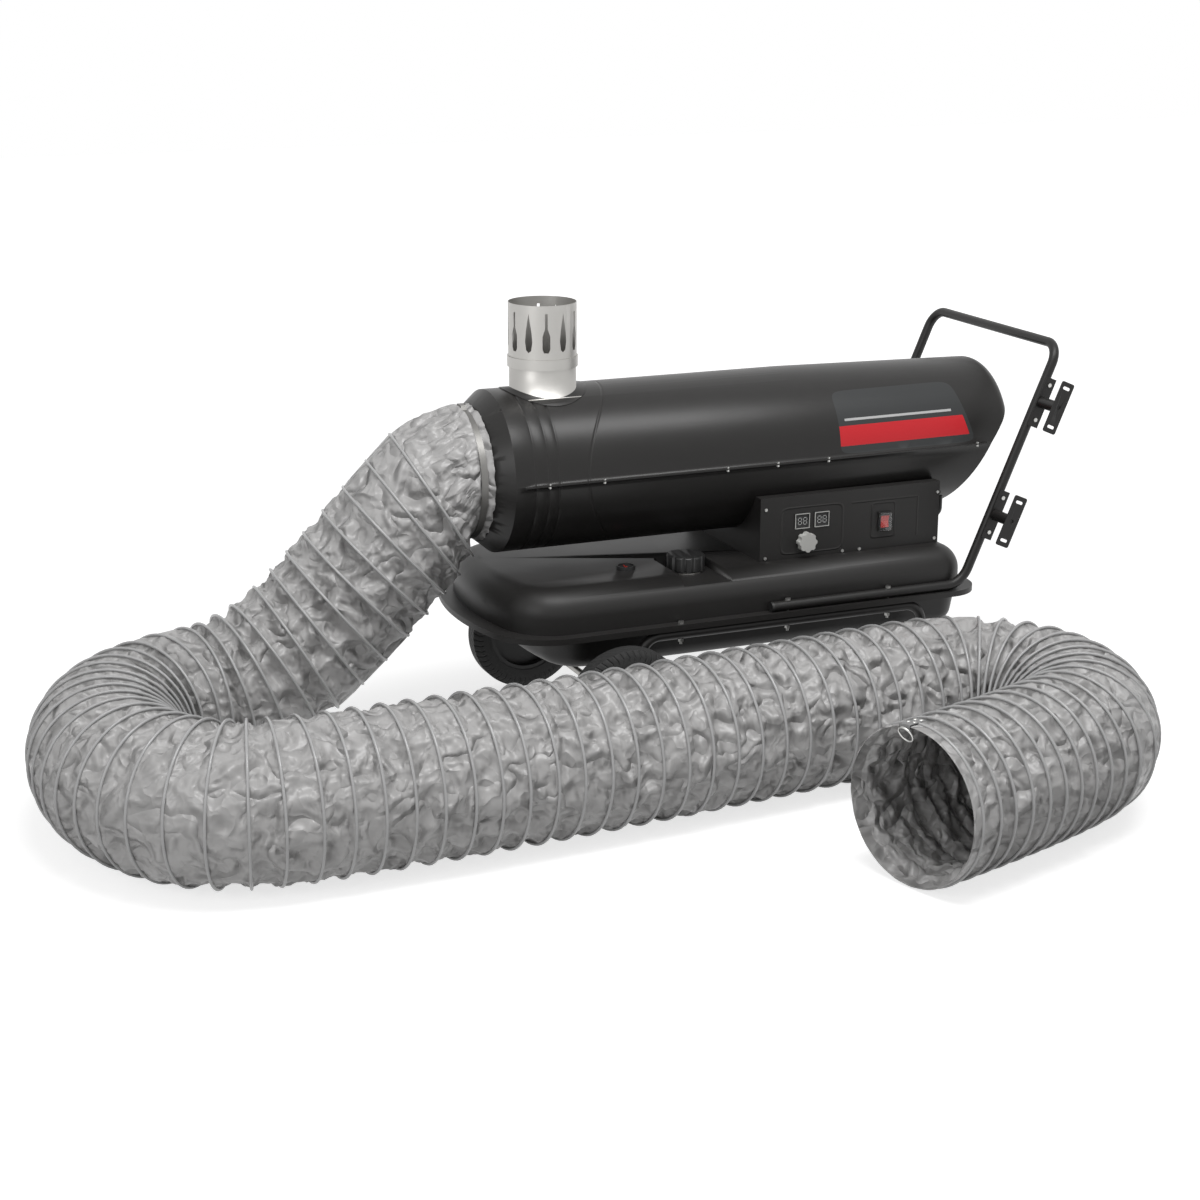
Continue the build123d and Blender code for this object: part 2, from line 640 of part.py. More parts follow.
def panel_hole(x, z, w, h):
    """Rectangular cut through the control panel."""
    return Pos(x, -BOX_HALF_W, z) * Box(w, 4 * BOX_SHEET, h)


def control_panel():
    """Near side panel with the cut-outs for the instruments."""
    panel = box_side()
    for x in DISPLAY_XS:
        panel -= panel_hole(x, DISPLAY_Z, DISPLAY_W - 8, DISPLAY_H - 8)
    panel -= panel_hole(ROCKER_X, ROCKER_Z, ROCKER_W - 8, ROCKER_H - 8)
    shaft_hole = Pos(KNOB_X, -BOX_HALF_W, KNOB_Z) * Rot(90, 0, 0) * Cylinder(KNOB_SHAFT_R + 1, 20)
    return panel - shaft_hole


def side_cover():
    """Far side panel with a row of louvre slots."""
    cover = mirror(box_side(), about=Plane.XZ)
    middle = (BOX_FRONT_X + BOX_REAR_X) / 2
    for k in range(LOUVRES):
        z = DECK_Z + 40 + k * 14
        cover -= Pos(middle, BOX_HALF_W, z) * Box(160, 10, 5)
    return cover


def displays():
    """Two instrument housings: bezel on the panel and a case behind it."""
    pair = None
    for x in DISPLAY_XS:
        bezel = Pos(x, -BOX_HALF_W - DISPLAY_PROUD / 2, DISPLAY_Z) * Box(
            DISPLAY_W, DISPLAY_PROUD, DISPLAY_H)
        case = Pos(x, -BOX_HALF_W + 9, DISPLAY_Z) * Box(DISPLAY_W - 9, 20, DISPLAY_H - 9)
        window = Pos(x, -BOX_HALF_W - DISPLAY_PROUD, DISPLAY_Z) * Box(
            DISPLAY_W - 8, 2, DISPLAY_H - 8)
        unit = bezel + case - window
        pair = unit if pair is None else pair + unit
    return pair


def thermostat():
    """Control unit behind the panel, bored for the knob shaft."""
    case = Pos(KNOB_X, -BOX_HALF_W + BOX_SHEET + 14, KNOB_Z) * Box(44, 28, 44)
    bore = Pos(KNOB_X, -BOX_HALF_W + BOX_SHEET + 8, KNOB_Z) * Rot(90, 0, 0)
    return case - bore * Cylinder(KNOB_SHAFT_R + RUN, 18)


def thermostat_knob():
    """Scalloped knob with its shaft through the panel."""
    knob = Cylinder(KNOB_R, KNOB_H)
    for k in range(8):
        a = math.radians(45 * k + 22.5)
        knob -= Pos((KNOB_R + 5) * math.cos(a), (KNOB_R + 5) * math.sin(a), 0) * Cylinder(8, 40)
    shaft_len = KNOB_H / 2 + BOX_SHEET + 14
    knob += Pos(0, 0, -shaft_len / 2) * Cylinder(KNOB_SHAFT_R, shaft_len)
    stand = BOX_HALF_W + SEAT + KNOB_H / 2
    return Pos(KNOB_X, -stand, KNOB_Z) * Rot(90, 0, 0) * knob


def rocker_pin(grow):
    """Pivot pin across the switch case that the rocker tips on."""
    middle = Pos(ROCKER_X, -BOX_HALF_W + ROCKER_PIN_IN, ROCKER_Z) * Rot(0, 90, 0)
    return middle * Cylinder(ROCKER_PIN_R + grow, ROCKER_W - 9.4 + 10 * grow)


def rocker_bezel():
    """Frame of the power switch with its case behind the panel."""
    y = -BOX_HALF_W
    frame = Pos(ROCKER_X, y - 2, ROCKER_Z) * Box(ROCKER_W, 4, ROCKER_H)
    case = Pos(ROCKER_X, y + 10, ROCKER_Z) * Box(ROCKER_W - 9, 24, ROCKER_H - 9)
    pocket = Pos(ROCKER_X, y - 2, ROCKER_Z) * Box(ROCKER_W - 11, 16, ROCKER_H - 11)
    return frame + case - pocket - rocker_pin(RUN)


def power_rocker():
    """Rocker that tips about its middle inside the frame."""
    w = ROCKER_W - 11 - 2 * SEAT
    h = ROCKER_H - 11 - 3
    profile = make_face(Polyline((-h / 2 + 1, 3), (0, 0.5), (h / 2 - 1, 5), (h / 2 - 4, -2),
                                 (0, -5), (-h / 2 + 4, -3), close=True))
    rocker = extrude(profile, w / 2, both=True)
    place = Plane(origin=(ROCKER_X, -BOX_HALF_W - 1, ROCKER_Z), x_dir=(0, 0, 1),
                  z_dir=(1, 0, 0))
    return place * rocker + rocker_pin(0)


def control_board():
    """Circuit board on four posts behind the panel, with its larger components."""
    y = -BOX_HALF_W + BOX_SHEET
    board = Pos(800, y + 16.8, 462) * Box(110, 1.6, 90)
    for dx in (-48, 48):
        for dz in (-38, 38):
            board += Pos(800 + dx, y + 8, 462 + dz) * Box(6, 16, 6)
    board += Pos(780, y + 26, 470) * Box(28, 18, 24) + Pos(825, y + 24, 450) * Box(20, 14, 30)
    return board


def ignition_transformer():
    """Sealed block bolted on the deck inside the saddle box."""
    block = Pos(COIL_X, COIL_Y, DECK_Z + COIL_H / 2) * Box(COIL_LEN, COIL_W, COIL_H)
    ears = Pos(COIL_X, COIL_Y, DECK_Z + 1) * Box(COIL_LEN + 30, COIL_W - 20, 2)
    return block + ears


def swept_tube(points, radii, r):
    """Round bar along straight runs joined by tangent arcs."""
    path = FilletPolyline(*points, radius=radii)
    start = Plane(origin=path @ 0, z_dir=path % 0)
    return sweep(start * Circle(r), path=path)


def conduit():
    """Short cable loop from the rear saddle wall up into the lower shell."""
    y = -120.0
    bottom_z = CASING_Z - math.sqrt(casing_radius(BOX_REAR_X + 46) ** 2 - y ** 2)
    points = [(BOX_REAR_X, y, 436), (BOX_REAR_X + 46, y, 436),
              (BOX_REAR_X + 46, y, bottom_z - 6)]
    return swept_tube(points, [18.0], 5.0)


def handle_tube():
    """Bent handle: two runs on the tank rim, two leaning legs and the grip between them."""
    low_z = RIM_Z + 2 * RIM_T + TUBE_R + SEAT
    side = [(HANDLE_START_X, -TUBE_Y, low_z), (HANDLE_FOOT_X, -TUBE_Y, low_z),
            (HANDLE_BAR_X, -TUBE_Y, HANDLE_BAR_Z)]
    points = side + [(x, -y, z) for x, y, z in reversed(side)]
    radii = [HANDLE_FOOT_BEND_R, HANDLE_BEND_R, HANDLE_BEND_R, HANDLE_FOOT_BEND_R]
    tube = swept_tube(points, radii, TUBE_R)
    for x, y in rim_bolts()[2:]:
        tube -= Pos(x, y, low_z) * Cylinder(3.4, 40)
    return tube


def handle_plugs():
    """Plastic plugs that close the front ends of the handle tube."""
    low_z = RIM_Z + 2 * RIM_T + TUBE_R + SEAT
    plug = Pos(HANDLE_START_X - 3, -TUBE_Y, low_z) * Rot(0, 90, 0) * Cylinder(TUBE_R, 6)
    return plug + mirror(plug, about=Plane.XZ)


def leg_lean():
    """Lean of the handle legs from the vertical, in degrees."""
    low_z = RIM_Z + 2 * RIM_T + TUBE_R + SEAT
    return math.degrees(math.atan2(HANDLE_BAR_X - HANDLE_FOOT_X, HANDLE_BAR_Z - low_z))


def slot(w, length):
    """Flat strip with rounded ends."""
    return SlotOverall(length, w)


def cord_wrap(z):
    """Cable-wrap bracket: leg plate, stand-off post and an outer plate with slots."""
    t = WRAP_PLATE_T
    y0 = TUBE_R + SEAT
    leg = extrude(Rectangle(WRAP_LEG_W, WRAP_LEG_L), t)
    outer = extrude(Rectangle(WRAP_OUT_W, WRAP_OUT_L), t)
    outer = fillet(outer.edges().filter_by(Axis.Z), 5)
    for s in (-1, 1):
        outer -= Pos(0, s * 46, 0) * extrude(slot(7, 20), 10, both=True)
    outer -= Cylinder(5, 20)
    span = WRAP_REACH - 2 * t
    post = Pos(0, 0, t + span / 2) * Cylinder(WRAP_POST_R, span)
    unit = leg + post + Pos(0, 0, t + span) * outer
    place = Plane(origin=(0, -y0, 0), x_dir=(1, 0, 0), z_dir=(0, -1, 0))
    lean = leg_lean()
    x = HANDLE_BAR_X - math.tan(math.radians(lean)) * (HANDLE_BAR_Z - z) + WRAP_OFFSET
    return Pos(x, -TUBE_Y, z) * Rot(0, lean, 0) * (place * unit)


def frame_tube(side):
    """Under-frame tube: front leg to the axle, run under the rim and rear leg to the floor."""
    y = side * TUBE_Y
    top_z = RIM_Z - TUBE_R - SEAT
    dx, dz = FRAME_FRONT_X - AXLE_X, top_z - WHEEL_R
    length = math.hypot(dx, dz)
    stop = 26.0 / length
    points = [(AXLE_X + dx * stop, y, WHEEL_R + dz * stop), (FRAME_FRONT_X, y, top_z),
              (FRAME_REAR_X, y, top_z), (STAND_X, y, FOOT_H)]
    tube = swept_tube(points, [FRAME_BEND_R, FRAME_BEND_R], TUBE_R)
    tube -= Pos(STAND_X, y, 0) * Box(60, 60, 2 * FOOT_H)
    lean = math.degrees(math.atan2(dx, dz))
    lug = Pos(0, 17, 0) * Rectangle(26, 46) + Circle(15)
    lug = extrude(lug, LUG_T / 2, both=True)
    plate = Pos(AXLE_X, y, WHEEL_R) * Rot(0, lean, 0) * (Rot(90, 0, 0) * lug)
    tube += plate
    tube -= Pos(AXLE_X, y, WHEEL_R) * Rot(90, 0, 0) * Cylinder(AXLE_R + RUN, 60)
    for x, by in rim_bolts():
        if by * side > 0:
            tube -= Pos(x, y, top_z) * Cylinder(3.4, 40)
    return tube


def stand_bar():
    """Cross tube between the rear legs."""
    top_z = RIM_Z - TUBE_R - SEAT
    share = (top_z - STAND_BAR_Z) / (top_z - FOOT_H)
    x = FRAME_REAR_X + (STAND_X - FRAME_REAR_X) * share
    length = 2 * (TUBE_Y - TUBE_R - SEAT)
    return Pos(x, 0, STAND_BAR_Z) * Rot(90, 0, 0) * Cylinder(TUBE_R, length)


def stand_feet():
    """Rubber feet under the rear legs."""
    foot = Pos(STAND_X, TUBE_Y, FOOT_H / 2) * Cylinder(FOOT_R, FOOT_H)
    return foot + mirror(foot, about=Plane.XZ)


def wheel_out_y():
    """Outboard face of the wheels."""
    return WHEEL_IN_Y + WHEEL_W


def axle():
    """Round axle through both wheels, with shoulders inside them."""
    half = wheel_out_y() + 2 + AXLE_CAP_H - 3
    bar = Pos(AXLE_X, 0, WHEEL_R) * Rot(90, 0, 0) * Cylinder(AXLE_R, 2 * half)
    spacer_y0, spacer_y1 = TUBE_Y + LUG_T / 2 + SEAT, WHEEL_IN_Y - 2 - SEAT
    ring = Pos(AXLE_X, (spacer_y0 + spacer_y1) / 2, WHEEL_R) * Rot(90, 0, 0)
    ring = ring * Cylinder(AXLE_R + 5, spacer_y1 - spacer_y0)
    return bar + ring + mirror(ring, about=Plane.XZ)


def axle_caps():
    """Push-on caps that keep the wheels on the axle."""
    y0 = wheel_out_y() + 2 + SEAT
    cap = Cylinder(AXLE_CAP_R, AXLE_CAP_H) - Pos(0, 0, -3) * Cylinder(
        AXLE_R + RUN, AXLE_CAP_H)
    cap = Pos(AXLE_X, y0 + AXLE_CAP_H / 2, WHEEL_R) * Rot(-90, 0, 0) * cap
    return cap + mirror(cap, about=Plane.XZ)


def wheel_turned(points, side):
    """Wheel piece turned about the axle from (offset from inboard face, radius) corners."""
    face = make_face(Polyline(*points, close=True))
    ring = revolve(face, axis=Axis.X)
    ring = Pos(AXLE_X, side * WHEEL_IN_Y, WHEEL_R) * Rot(0, 0, side * 90) * ring
    return ring


def tyre(side):
    """Solid tyre with a flat tread between bevelled shoulders."""
    w = WHEEL_W
    return wheel_turned([(0, RIM_R), (0, WHEEL_R - 14), (7, WHEEL_R), (w - 7, WHEEL_R),
                         (w, WHEEL_R - 14), (w, RIM_R)], side)


def rim(side):
    """Wheel body: barrel under the tyre, web and a hub that runs on the axle."""
    w = WHEEL_W
    seat = RIM_R - SEAT
    mid = w / 2
    return wheel_turned([
        (-2, AXLE_R + RUN), (-2, HUB_R), (mid - RIM_WEB / 2, HUB_R),
        (mid - RIM_WEB / 2, seat - 9), (2, seat - 9), (2, seat), (w - 2, seat),
        (w - 2, seat - 9), (mid + RIM_WEB / 2, seat - 9), (mid + RIM_WEB / 2, HUB_R),
        (w + 2, HUB_R), (w + 2, AXLE_R + RUN)], side)


def hex_head(place, across, height):
    """Hexagon head standing on a plane."""
    return extrude(place * RegularPolygon(across / 2, 6), height)


def fused(pieces):
    """One part from a list of separate pieces."""
    whole = pieces[0]
    for piece in pieces[1:]:
        whole = whole + piece
    return whole


def casing_screws():
    """Screw heads and clip nuts along both seam ledges."""
    heads = []
    for x in (75.0, 202.0, 497.0, 621.0, 749.0, 1143.0):
        for s in (-1, 1):
            y = s * (casing_radius(x) + LEDGE / 2 + 0.4)
            up = Plane(origin=(x, y, CASING_Z + SHEET))
            down = Plane(origin=(x, y, CASING_Z - SHEET), z_dir=(0, 0, -1))
            heads += [hex_head(up, 6.5, 3.2), hex_head(down, 6.5, 4.5)]
    return fused(heads)


def flange_bolts():
    """Long bolts through the rim and the frame tubes, with their nuts."""
    bolts = []
    for x, y in rim_bolts():
        on_tube = x > HANDLE_START_X
        top_z = RIM_Z + 2 * RIM_T + (2 * (TUBE_R + SEAT) if on_tube else 0)
        low_z = RIM_Z - 2 * (TUBE_R + SEAT)
        shank = Pos(x, y, (top_z + low_z - 12) / 2) * Cylinder(3, top_z - low_z + 12)
        head = hex_head(Plane(origin=(x, y, top_z)), 13, 5)
        nut = hex_head(Plane(origin=(x, y, low_z), z_dir=(0, 0, -1)), 13, 6)
        bolts += [shank + head + nut]
    return fused(bolts)


def panel_screws():
    """Corner screws of the control panel and the two small ones under it."""
    heads = []
    for x, z in ((590, 511), (590, 399), (1032, 512), (1028, 403), (787, 397), (831, 397)):
        front = Plane(origin=(x, -BOX_HALF_W, z), z_dir=(0, -1, 0))
        heads.append(hex_head(front, 8, 2.4))
    return fused(heads)


def wrap_screws():
    """Two screws through the leg plate of each cable-wrap bracket."""
    heads = []
    lean = leg_lean()
    y = -TUBE_Y - TUBE_R - SEAT - WRAP_PLATE_T
    for z in WRAP_ZS:
        x = HANDLE_BAR_X - math.tan(math.radians(lean)) * (HANDLE_BAR_Z - z) + WRAP_OFFSET
        for s in (-1, 1):
            head = hex_head(Plane(origin=(0, 0, 0), z_dir=(0, -1, 0)), 10, 3)
            heads.append(Pos(x, y, z) * Rot(0, lean, 0) * Pos(0, 0, s * 42) * head)
    return fused(heads)


def fuel_lines():
    """Supply pipe from the tank deck up to the pump."""
    y = PIPE_Y
    pump_x = pump_middle()
    top_z = CASING_Z - math.sqrt(PUMP_R ** 2 - (y - PIPE_R) ** 2) - SEAT
    return Pos(pump_x, y, (DECK_Z + top_z) / 2) * Cylinder(PIPE_R, top_z - DECK_Z)


def duct_path():
    """Centre line of the duct."""
    points = [Vector(*p) for p in DUCT_ROUTE]
    radii = []
    for a, b, c in zip(points, points[1:], points[2:]):
        u, v = b - a, c - b
        radii.append(0.45 * min(u.length, v.length) / math.tan(math.radians(u.get_angle(v)) / 2))
    print("duct bend radii", [round(r) for r in radii])
    return FilletPolyline(*points, radius=radii)


def duct_share(place):
    """Share of the route at which a rib stands, counted in ribs from the cuff."""
    total = sum(count * pitch for count, pitch in DUCT_STRETCHES)
    done = 0.0
    for count, pitch in DUCT_STRETCHES:
        step = min(place, count)
        done += step * pitch
        place -= step
    return min(done / total, 1.0)


def duct_ring(path, place, r):
    """Ring of the duct at a rib; the hanging rings lean less than the path does."""
    share = duct_share(place)
    ahead = path % share
    heading = math.atan2(ahead.Y, ahead.X)
    tilt = -math.degrees(math.asin(ahead.Z))
    tilts = DUCT_HANG_TILTS + (tilt,)
    if place < len(DUCT_HANG_TILTS):
        k = int(place)
        tilt = tilts[k] + (tilts[k + 1] - tilts[k]) * (place - k)
    tilt = math.radians(tilt)
    normal = Vector(math.cos(tilt) * math.cos(heading), math.cos(tilt) * math.sin(heading),
                    -math.sin(tilt))
    return Plane(origin=path @ share, x_dir=(0, 0, -1), z_dir=normal) * Circle(r)


def duct_hose():
    """Fabric duct on a wire helix: one crest and one valley for every turn of the wire."""
    path = duct_path()
    ribs = sum(count for count, pitch in DUCT_STRETCHES)
    span = round(ribs / DUCT_SPANS)
    hose = None
    for first in range(DUCT_FIRST_RIB, ribs, span):
        last = min(first + span, ribs)
        rings = []
        for k in range(first, last):
            rings.append(duct_ring(path, k, DUCT_R))
            rings.append(duct_ring(path, k + 0.5, DUCT_VALLEY_R))
        rings.append(duct_ring(path, last, DUCT_R))
        bores = [duct_ring(path, first + (last - first) * j / 3, DUCT_BORE_R) for j in range(4)]
        stretch = loft(rings, ruled=True) - loft(bores, ruled=True)
        hose = stretch if hose is None else hose + stretch
    print("duct volume", round(hose.volume / 1e6, 1), "l; length", round(path.length))
    return hose


def duct_cuff():
    """Gathered fabric cuff: a sleeve on the spigot that droops over to the hose."""
    inner = SPIGOT_R + SEAT
    sleeve_start = -CONE_LEN - CUFF_GAP
    sleeve_end = -CONE_LEN - SPIGOT_LEN
    start = Plane(origin=(sleeve_end, 0, CASING_Z), x_dir=(0, 0, -1), z_dir=(-1, 0, 0))
    droop = math.radians(CUFF_DROOP)
    middle = Plane(origin=(CUFF_MID_X, 0, CUFF_MID_Z), x_dir=(0, 0, -1),
                   z_dir=(-math.cos(droop), 0, -math.sin(droop)))
    path = duct_path()
    skin = loft([start * Circle(inner + CUFF_WALL), middle * Circle(CUFF_MID_R),
                 duct_ring(path, DUCT_FIRST_RIB, DUCT_R)], ruled=True)
    inside = loft([start * Circle(inner), middle * Circle(CUFF_MID_R - CUFF_WALL),
                   duct_ring(path, DUCT_FIRST_RIB, DUCT_BORE_R)], ruled=True)
    sleeve = barrel(inner + CUFF_WALL, sleeve_end, sleeve_start)
    sleeve -= barrel(inner, sleeve_end - 0.01, sleeve_start + 1)
    return sleeve + (skin - inside)


def duct_clamp():
    """Worm-drive clamp round the cuff."""
    inner = SPIGOT_R + CUFF_WALL + 2 * SEAT
    x = -CONE_LEN - CLAMP_SETBACK
    band = barrel(inner + CLAMP_T, x - CLAMP_W / 2, x + CLAMP_W / 2)
    band += Pos(x, 0, CASING_Z + inner + 5) * Box(CLAMP_W - 2, 26, 11)
    return band - barrel(inner, x - CLAMP_W, x + CLAMP_W)


def duct_mouth():
    """Hemmed edge at the open end with its strap."""
    path = duct_path()
    length = path.length
    end = Plane(origin=path @ 1, x_dir=(0, 0, -1), z_dir=path % 1)
    hem = extrude(end * (Circle(DUCT_VALLEY_R) - Circle(DUCT_VALLEY_R - HEM_WALL)), HEM_LEN)
    return hem


def save(part, name):
    """Move a finished piece to the model's origin and write it."""
    placed = Pos(-MID_X, 0, 0) * part
    export_step(placed, os.path.join("parts", name + ".step"))


def main():
    skin = casing_core(0) - casing_core(SHEET)
    front, rear = upper_shells(skin)
    save(front, "upper_shell_front")
    save(rear, "upper_shell_rear")
    save(lower_shell(skin), "lower_shell")
    pieces = {
        "outlet_cone": outlet_cone, "flue_stub": flue_stub, "flue_cowl": flue_cowl,
        "combustion_drum": combustion_drum, "drum_cradles": drum_cradles,
        "burner_head": burner_head, "fuel_pump": fuel_pump, "fuel_lines": fuel_lines,
        "fan_motor": fan_motor, "motor_bracket": motor_bracket, "fan_rotor": fan_rotor,
        "fan_guard": fan_guard, "tank_upper": tank_upper, "tank_lower": tank_lower,
        "filler_neck": filler_neck, "fuel_cap": fuel_cap, "cap_seal": cap_seal,
        "gauge_body": gauge_body, "gauge_needle": gauge_needle, "gauge_float": gauge_float,
        "drain_plug": drain_plug, "control_panel": control_panel, "side_cover": side_cover,
        "displays": displays, "thermostat": thermostat, "thermostat_knob": thermostat_knob,
        "rocker_bezel": rocker_bezel, "power_rocker": power_rocker,
        "control_board": control_board, "ignition_transformer": ignition_transformer,
        "cable_conduit": conduit, "handle_tube": handle_tube, "handle_plugs": handle_plugs,
        "stand_bar": stand_bar, "stand_feet": stand_feet, "axle": axle,
        "axle_caps": axle_caps, "casing_screws": casing_screws,
        "flange_bolts": flange_bolts, "panel_screws": panel_screws,
        "wrap_screws": wrap_screws, "duct_hose": duct_hose, "duct_cuff": duct_cuff,
        "duct_clamp": duct_clamp, "duct_mouth": duct_mouth,
    }
    for name, make in pieces.items():
        save(make(), name)
    save(saddle_wall(BOX_FRONT_X, 1), "saddle_front")
    save(saddle_wall(BOX_REAR_X, -1), "saddle_rear")
    for name, z in zip(("cord_wrap_upper", "cord_wrap_lower"), WRAP_ZS):
        save(cord_wrap(z), name)
    for name, side in (("near", -1), ("far", 1)):
        save(frame_tube(side), "frame_tube_" + name)
        save(tyre(side), "tyre_" + name)
        save(rim(side), "rim_" + name)


main()
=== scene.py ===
# %% [markdown]
# # Indirect fired space heater
#
# A heater of this kind burns fuel in a closed drum and blows clean warm air out through a long
# fabric duct. The measured model already exists, so this lesson dresses it: every sheet, tube and
# screw keeps its place, and the work goes into finishes, cloth, wire and the small pressed details.
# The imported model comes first, because every later piece rides on one of its bodies.

# %% Load the measured model
import json
import math

import bmesh
import bpy
from mathutils import Matrix, Vector, noise

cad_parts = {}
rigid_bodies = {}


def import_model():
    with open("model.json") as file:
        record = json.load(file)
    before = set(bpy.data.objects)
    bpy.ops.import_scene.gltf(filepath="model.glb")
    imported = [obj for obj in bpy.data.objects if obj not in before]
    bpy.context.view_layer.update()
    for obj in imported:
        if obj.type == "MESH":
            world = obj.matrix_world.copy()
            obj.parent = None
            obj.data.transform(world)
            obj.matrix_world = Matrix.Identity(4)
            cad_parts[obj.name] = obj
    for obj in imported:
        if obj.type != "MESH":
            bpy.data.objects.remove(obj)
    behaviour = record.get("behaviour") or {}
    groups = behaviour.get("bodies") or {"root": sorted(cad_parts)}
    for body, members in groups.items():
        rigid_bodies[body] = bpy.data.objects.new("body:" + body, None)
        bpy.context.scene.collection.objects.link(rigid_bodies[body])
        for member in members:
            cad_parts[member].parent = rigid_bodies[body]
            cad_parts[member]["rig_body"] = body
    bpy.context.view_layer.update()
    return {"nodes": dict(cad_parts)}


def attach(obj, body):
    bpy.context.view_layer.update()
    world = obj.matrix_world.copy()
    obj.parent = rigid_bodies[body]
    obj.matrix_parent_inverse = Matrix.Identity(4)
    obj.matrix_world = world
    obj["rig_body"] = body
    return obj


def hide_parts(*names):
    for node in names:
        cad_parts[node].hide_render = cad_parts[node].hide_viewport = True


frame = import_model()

# %% [markdown]
# ## Places
#
# The drawing of the heater counts millimetres from the front edge of the casing, and the scene
# counts metres from the middle of the heater. One helper turns the first into the second, so that
# a size can be written as a maker would read it off the drawing.

# %% Millimetres on the drawing to metres in the scene
MIDDLE_X = 609.0                        # middle of the heater, from the casing's front edge
CASING_Z = 612.0                        # height of the casing's axis


def at(x, y, z):
    """A point of the drawing as a point of the scene."""
    return Vector(((x - MIDDLE_X) / 1000, y / 1000, z / 1000))


def mm(value):
    """Millimetres as metres."""
    return value / 1000


print("outlet edge", at(0, 0, CASING_Z))

# %% [markdown]
# ## Camera
#
# The photograph was taken with a long lens from the outlet side, looking a little down. The camera
# is turned by its yaw, pitch and roll, which are three plain angles, and its axes become the
# columns of the matrix.

# %% Camera at the angle of the photograph
YAW, PITCH, ROLL = (math.radians(a) for a in (23.155, 16.423, 0.171))
CAMERA_AT = at(-1684.4, -4569.9, 1751.6)
LENS, SENSOR, SEES_TO = 68.302, 36.0, 100.0
ahead = Vector((math.sin(YAW) * math.cos(PITCH), math.cos(YAW) * math.cos(PITCH),
                -math.sin(PITCH)))
right = Vector((math.cos(YAW), -math.sin(YAW), 0))
over = right.cross(ahead)
across = right * math.cos(ROLL) + over * math.sin(ROLL)
upward = over * math.cos(ROLL) - right * math.sin(ROLL)


def placed(name, data):
    """A new object in the scene."""
    made = bpy.data.objects.new(name, data)
    bpy.context.scene.collection.objects.link(made)
    return made


lens = bpy.data.cameras.new("photo_lens")
lens.lens = LENS
lens.sensor_width = SENSOR
lens.clip_end = SEES_TO
camera = placed("photo_camera", lens)
camera.matrix_world = Matrix.Translation(CAMERA_AT) @ Matrix(
    (across, upward, -ahead)).transposed().to_4x4()
bpy.context.scene.camera = camera
bpy.context.scene.view_settings.view_transform = "Standard"
print("camera", [round(v, 3) for v in camera.location])

# %% [markdown]
# ## Shader maths
#
# A finish is a small sum: a grain here, a stain there, mixed by masks. Written as node calls that
# sum is hard to read, so one class wraps a number socket and lets Python's own operators add the
# Math nodes. A second class holds a tree of nodes and adds any other node from its type, its
# settings and the values or links of its sockets. A finish is such a tree with a surface shader.

# %% Numbers and finishes
class Value:
    """A number or colour that comes out of a node."""

    def __init__(self, tree, socket):
        self.tree, self.socket = tree, socket

    def beside(self, output):
        """Another output of the same node."""
        return Value(self.tree, self.socket.node.outputs[output])

    def math(self, operation, *numbers):
        return self.tree.node("Math", {"operation": operation}, dict(enumerate(numbers)))

    def __add__(self, other):
        return self.math("ADD", self, other)

    def __sub__(self, other):
        return self.math("SUBTRACT", self, other)

    def __rsub__(self, other):
        return self.math("SUBTRACT", other, self)

    def __mul__(self, other):
        return self.math("MULTIPLY", self, other)

    def __truediv__(self, other):
        return self.math("DIVIDE", self, other)

    def __pow__(self, other):
        return self.math("POWER", self, other)

    def __abs__(self):
        return self.math("ABSOLUTE", self)

    __radd__ = __add__
    __rmul__ = __mul__


class Tree:
    """The nodes of a material or of the world."""

    def __init__(self, nodes_of):
        nodes_of.use_nodes = True
        self.nodes, self.links = nodes_of.node_tree.nodes, nodes_of.node_tree.links

    def node(self, kind, settings=None, inputs=None, output=0):
        """Any node: its settings first, then its sockets, which take numbers or Values."""
        made = self.nodes.new("ShaderNode" + kind)
        for key, value in (settings or {}).items():
            if key == "stops":
                self.ramp(made.color_ramp, value)
            else:
                setattr(made, key, value)
        for key, value in (inputs or {}).items():
            self.feed(made.inputs[key], value)
        return Value(self, made.outputs[output])

    def ramp(self, ramp, stops):
        """Stops of a ramp as pairs of place and brightness."""
        while len(ramp.elements) < len(stops):
            ramp.elements.new(1.0)
        for element, (place, grey) in zip(ramp.elements, stops):
            element.position = place
            element.color = (grey, grey, grey, 1.0)

    def feed(self, socket, value):
        """Links a Value to a socket, or sets the socket to a number or colour."""
        if isinstance(value, Value):
            self.links.new(value.socket, socket)
        else:
            socket.default_value = value


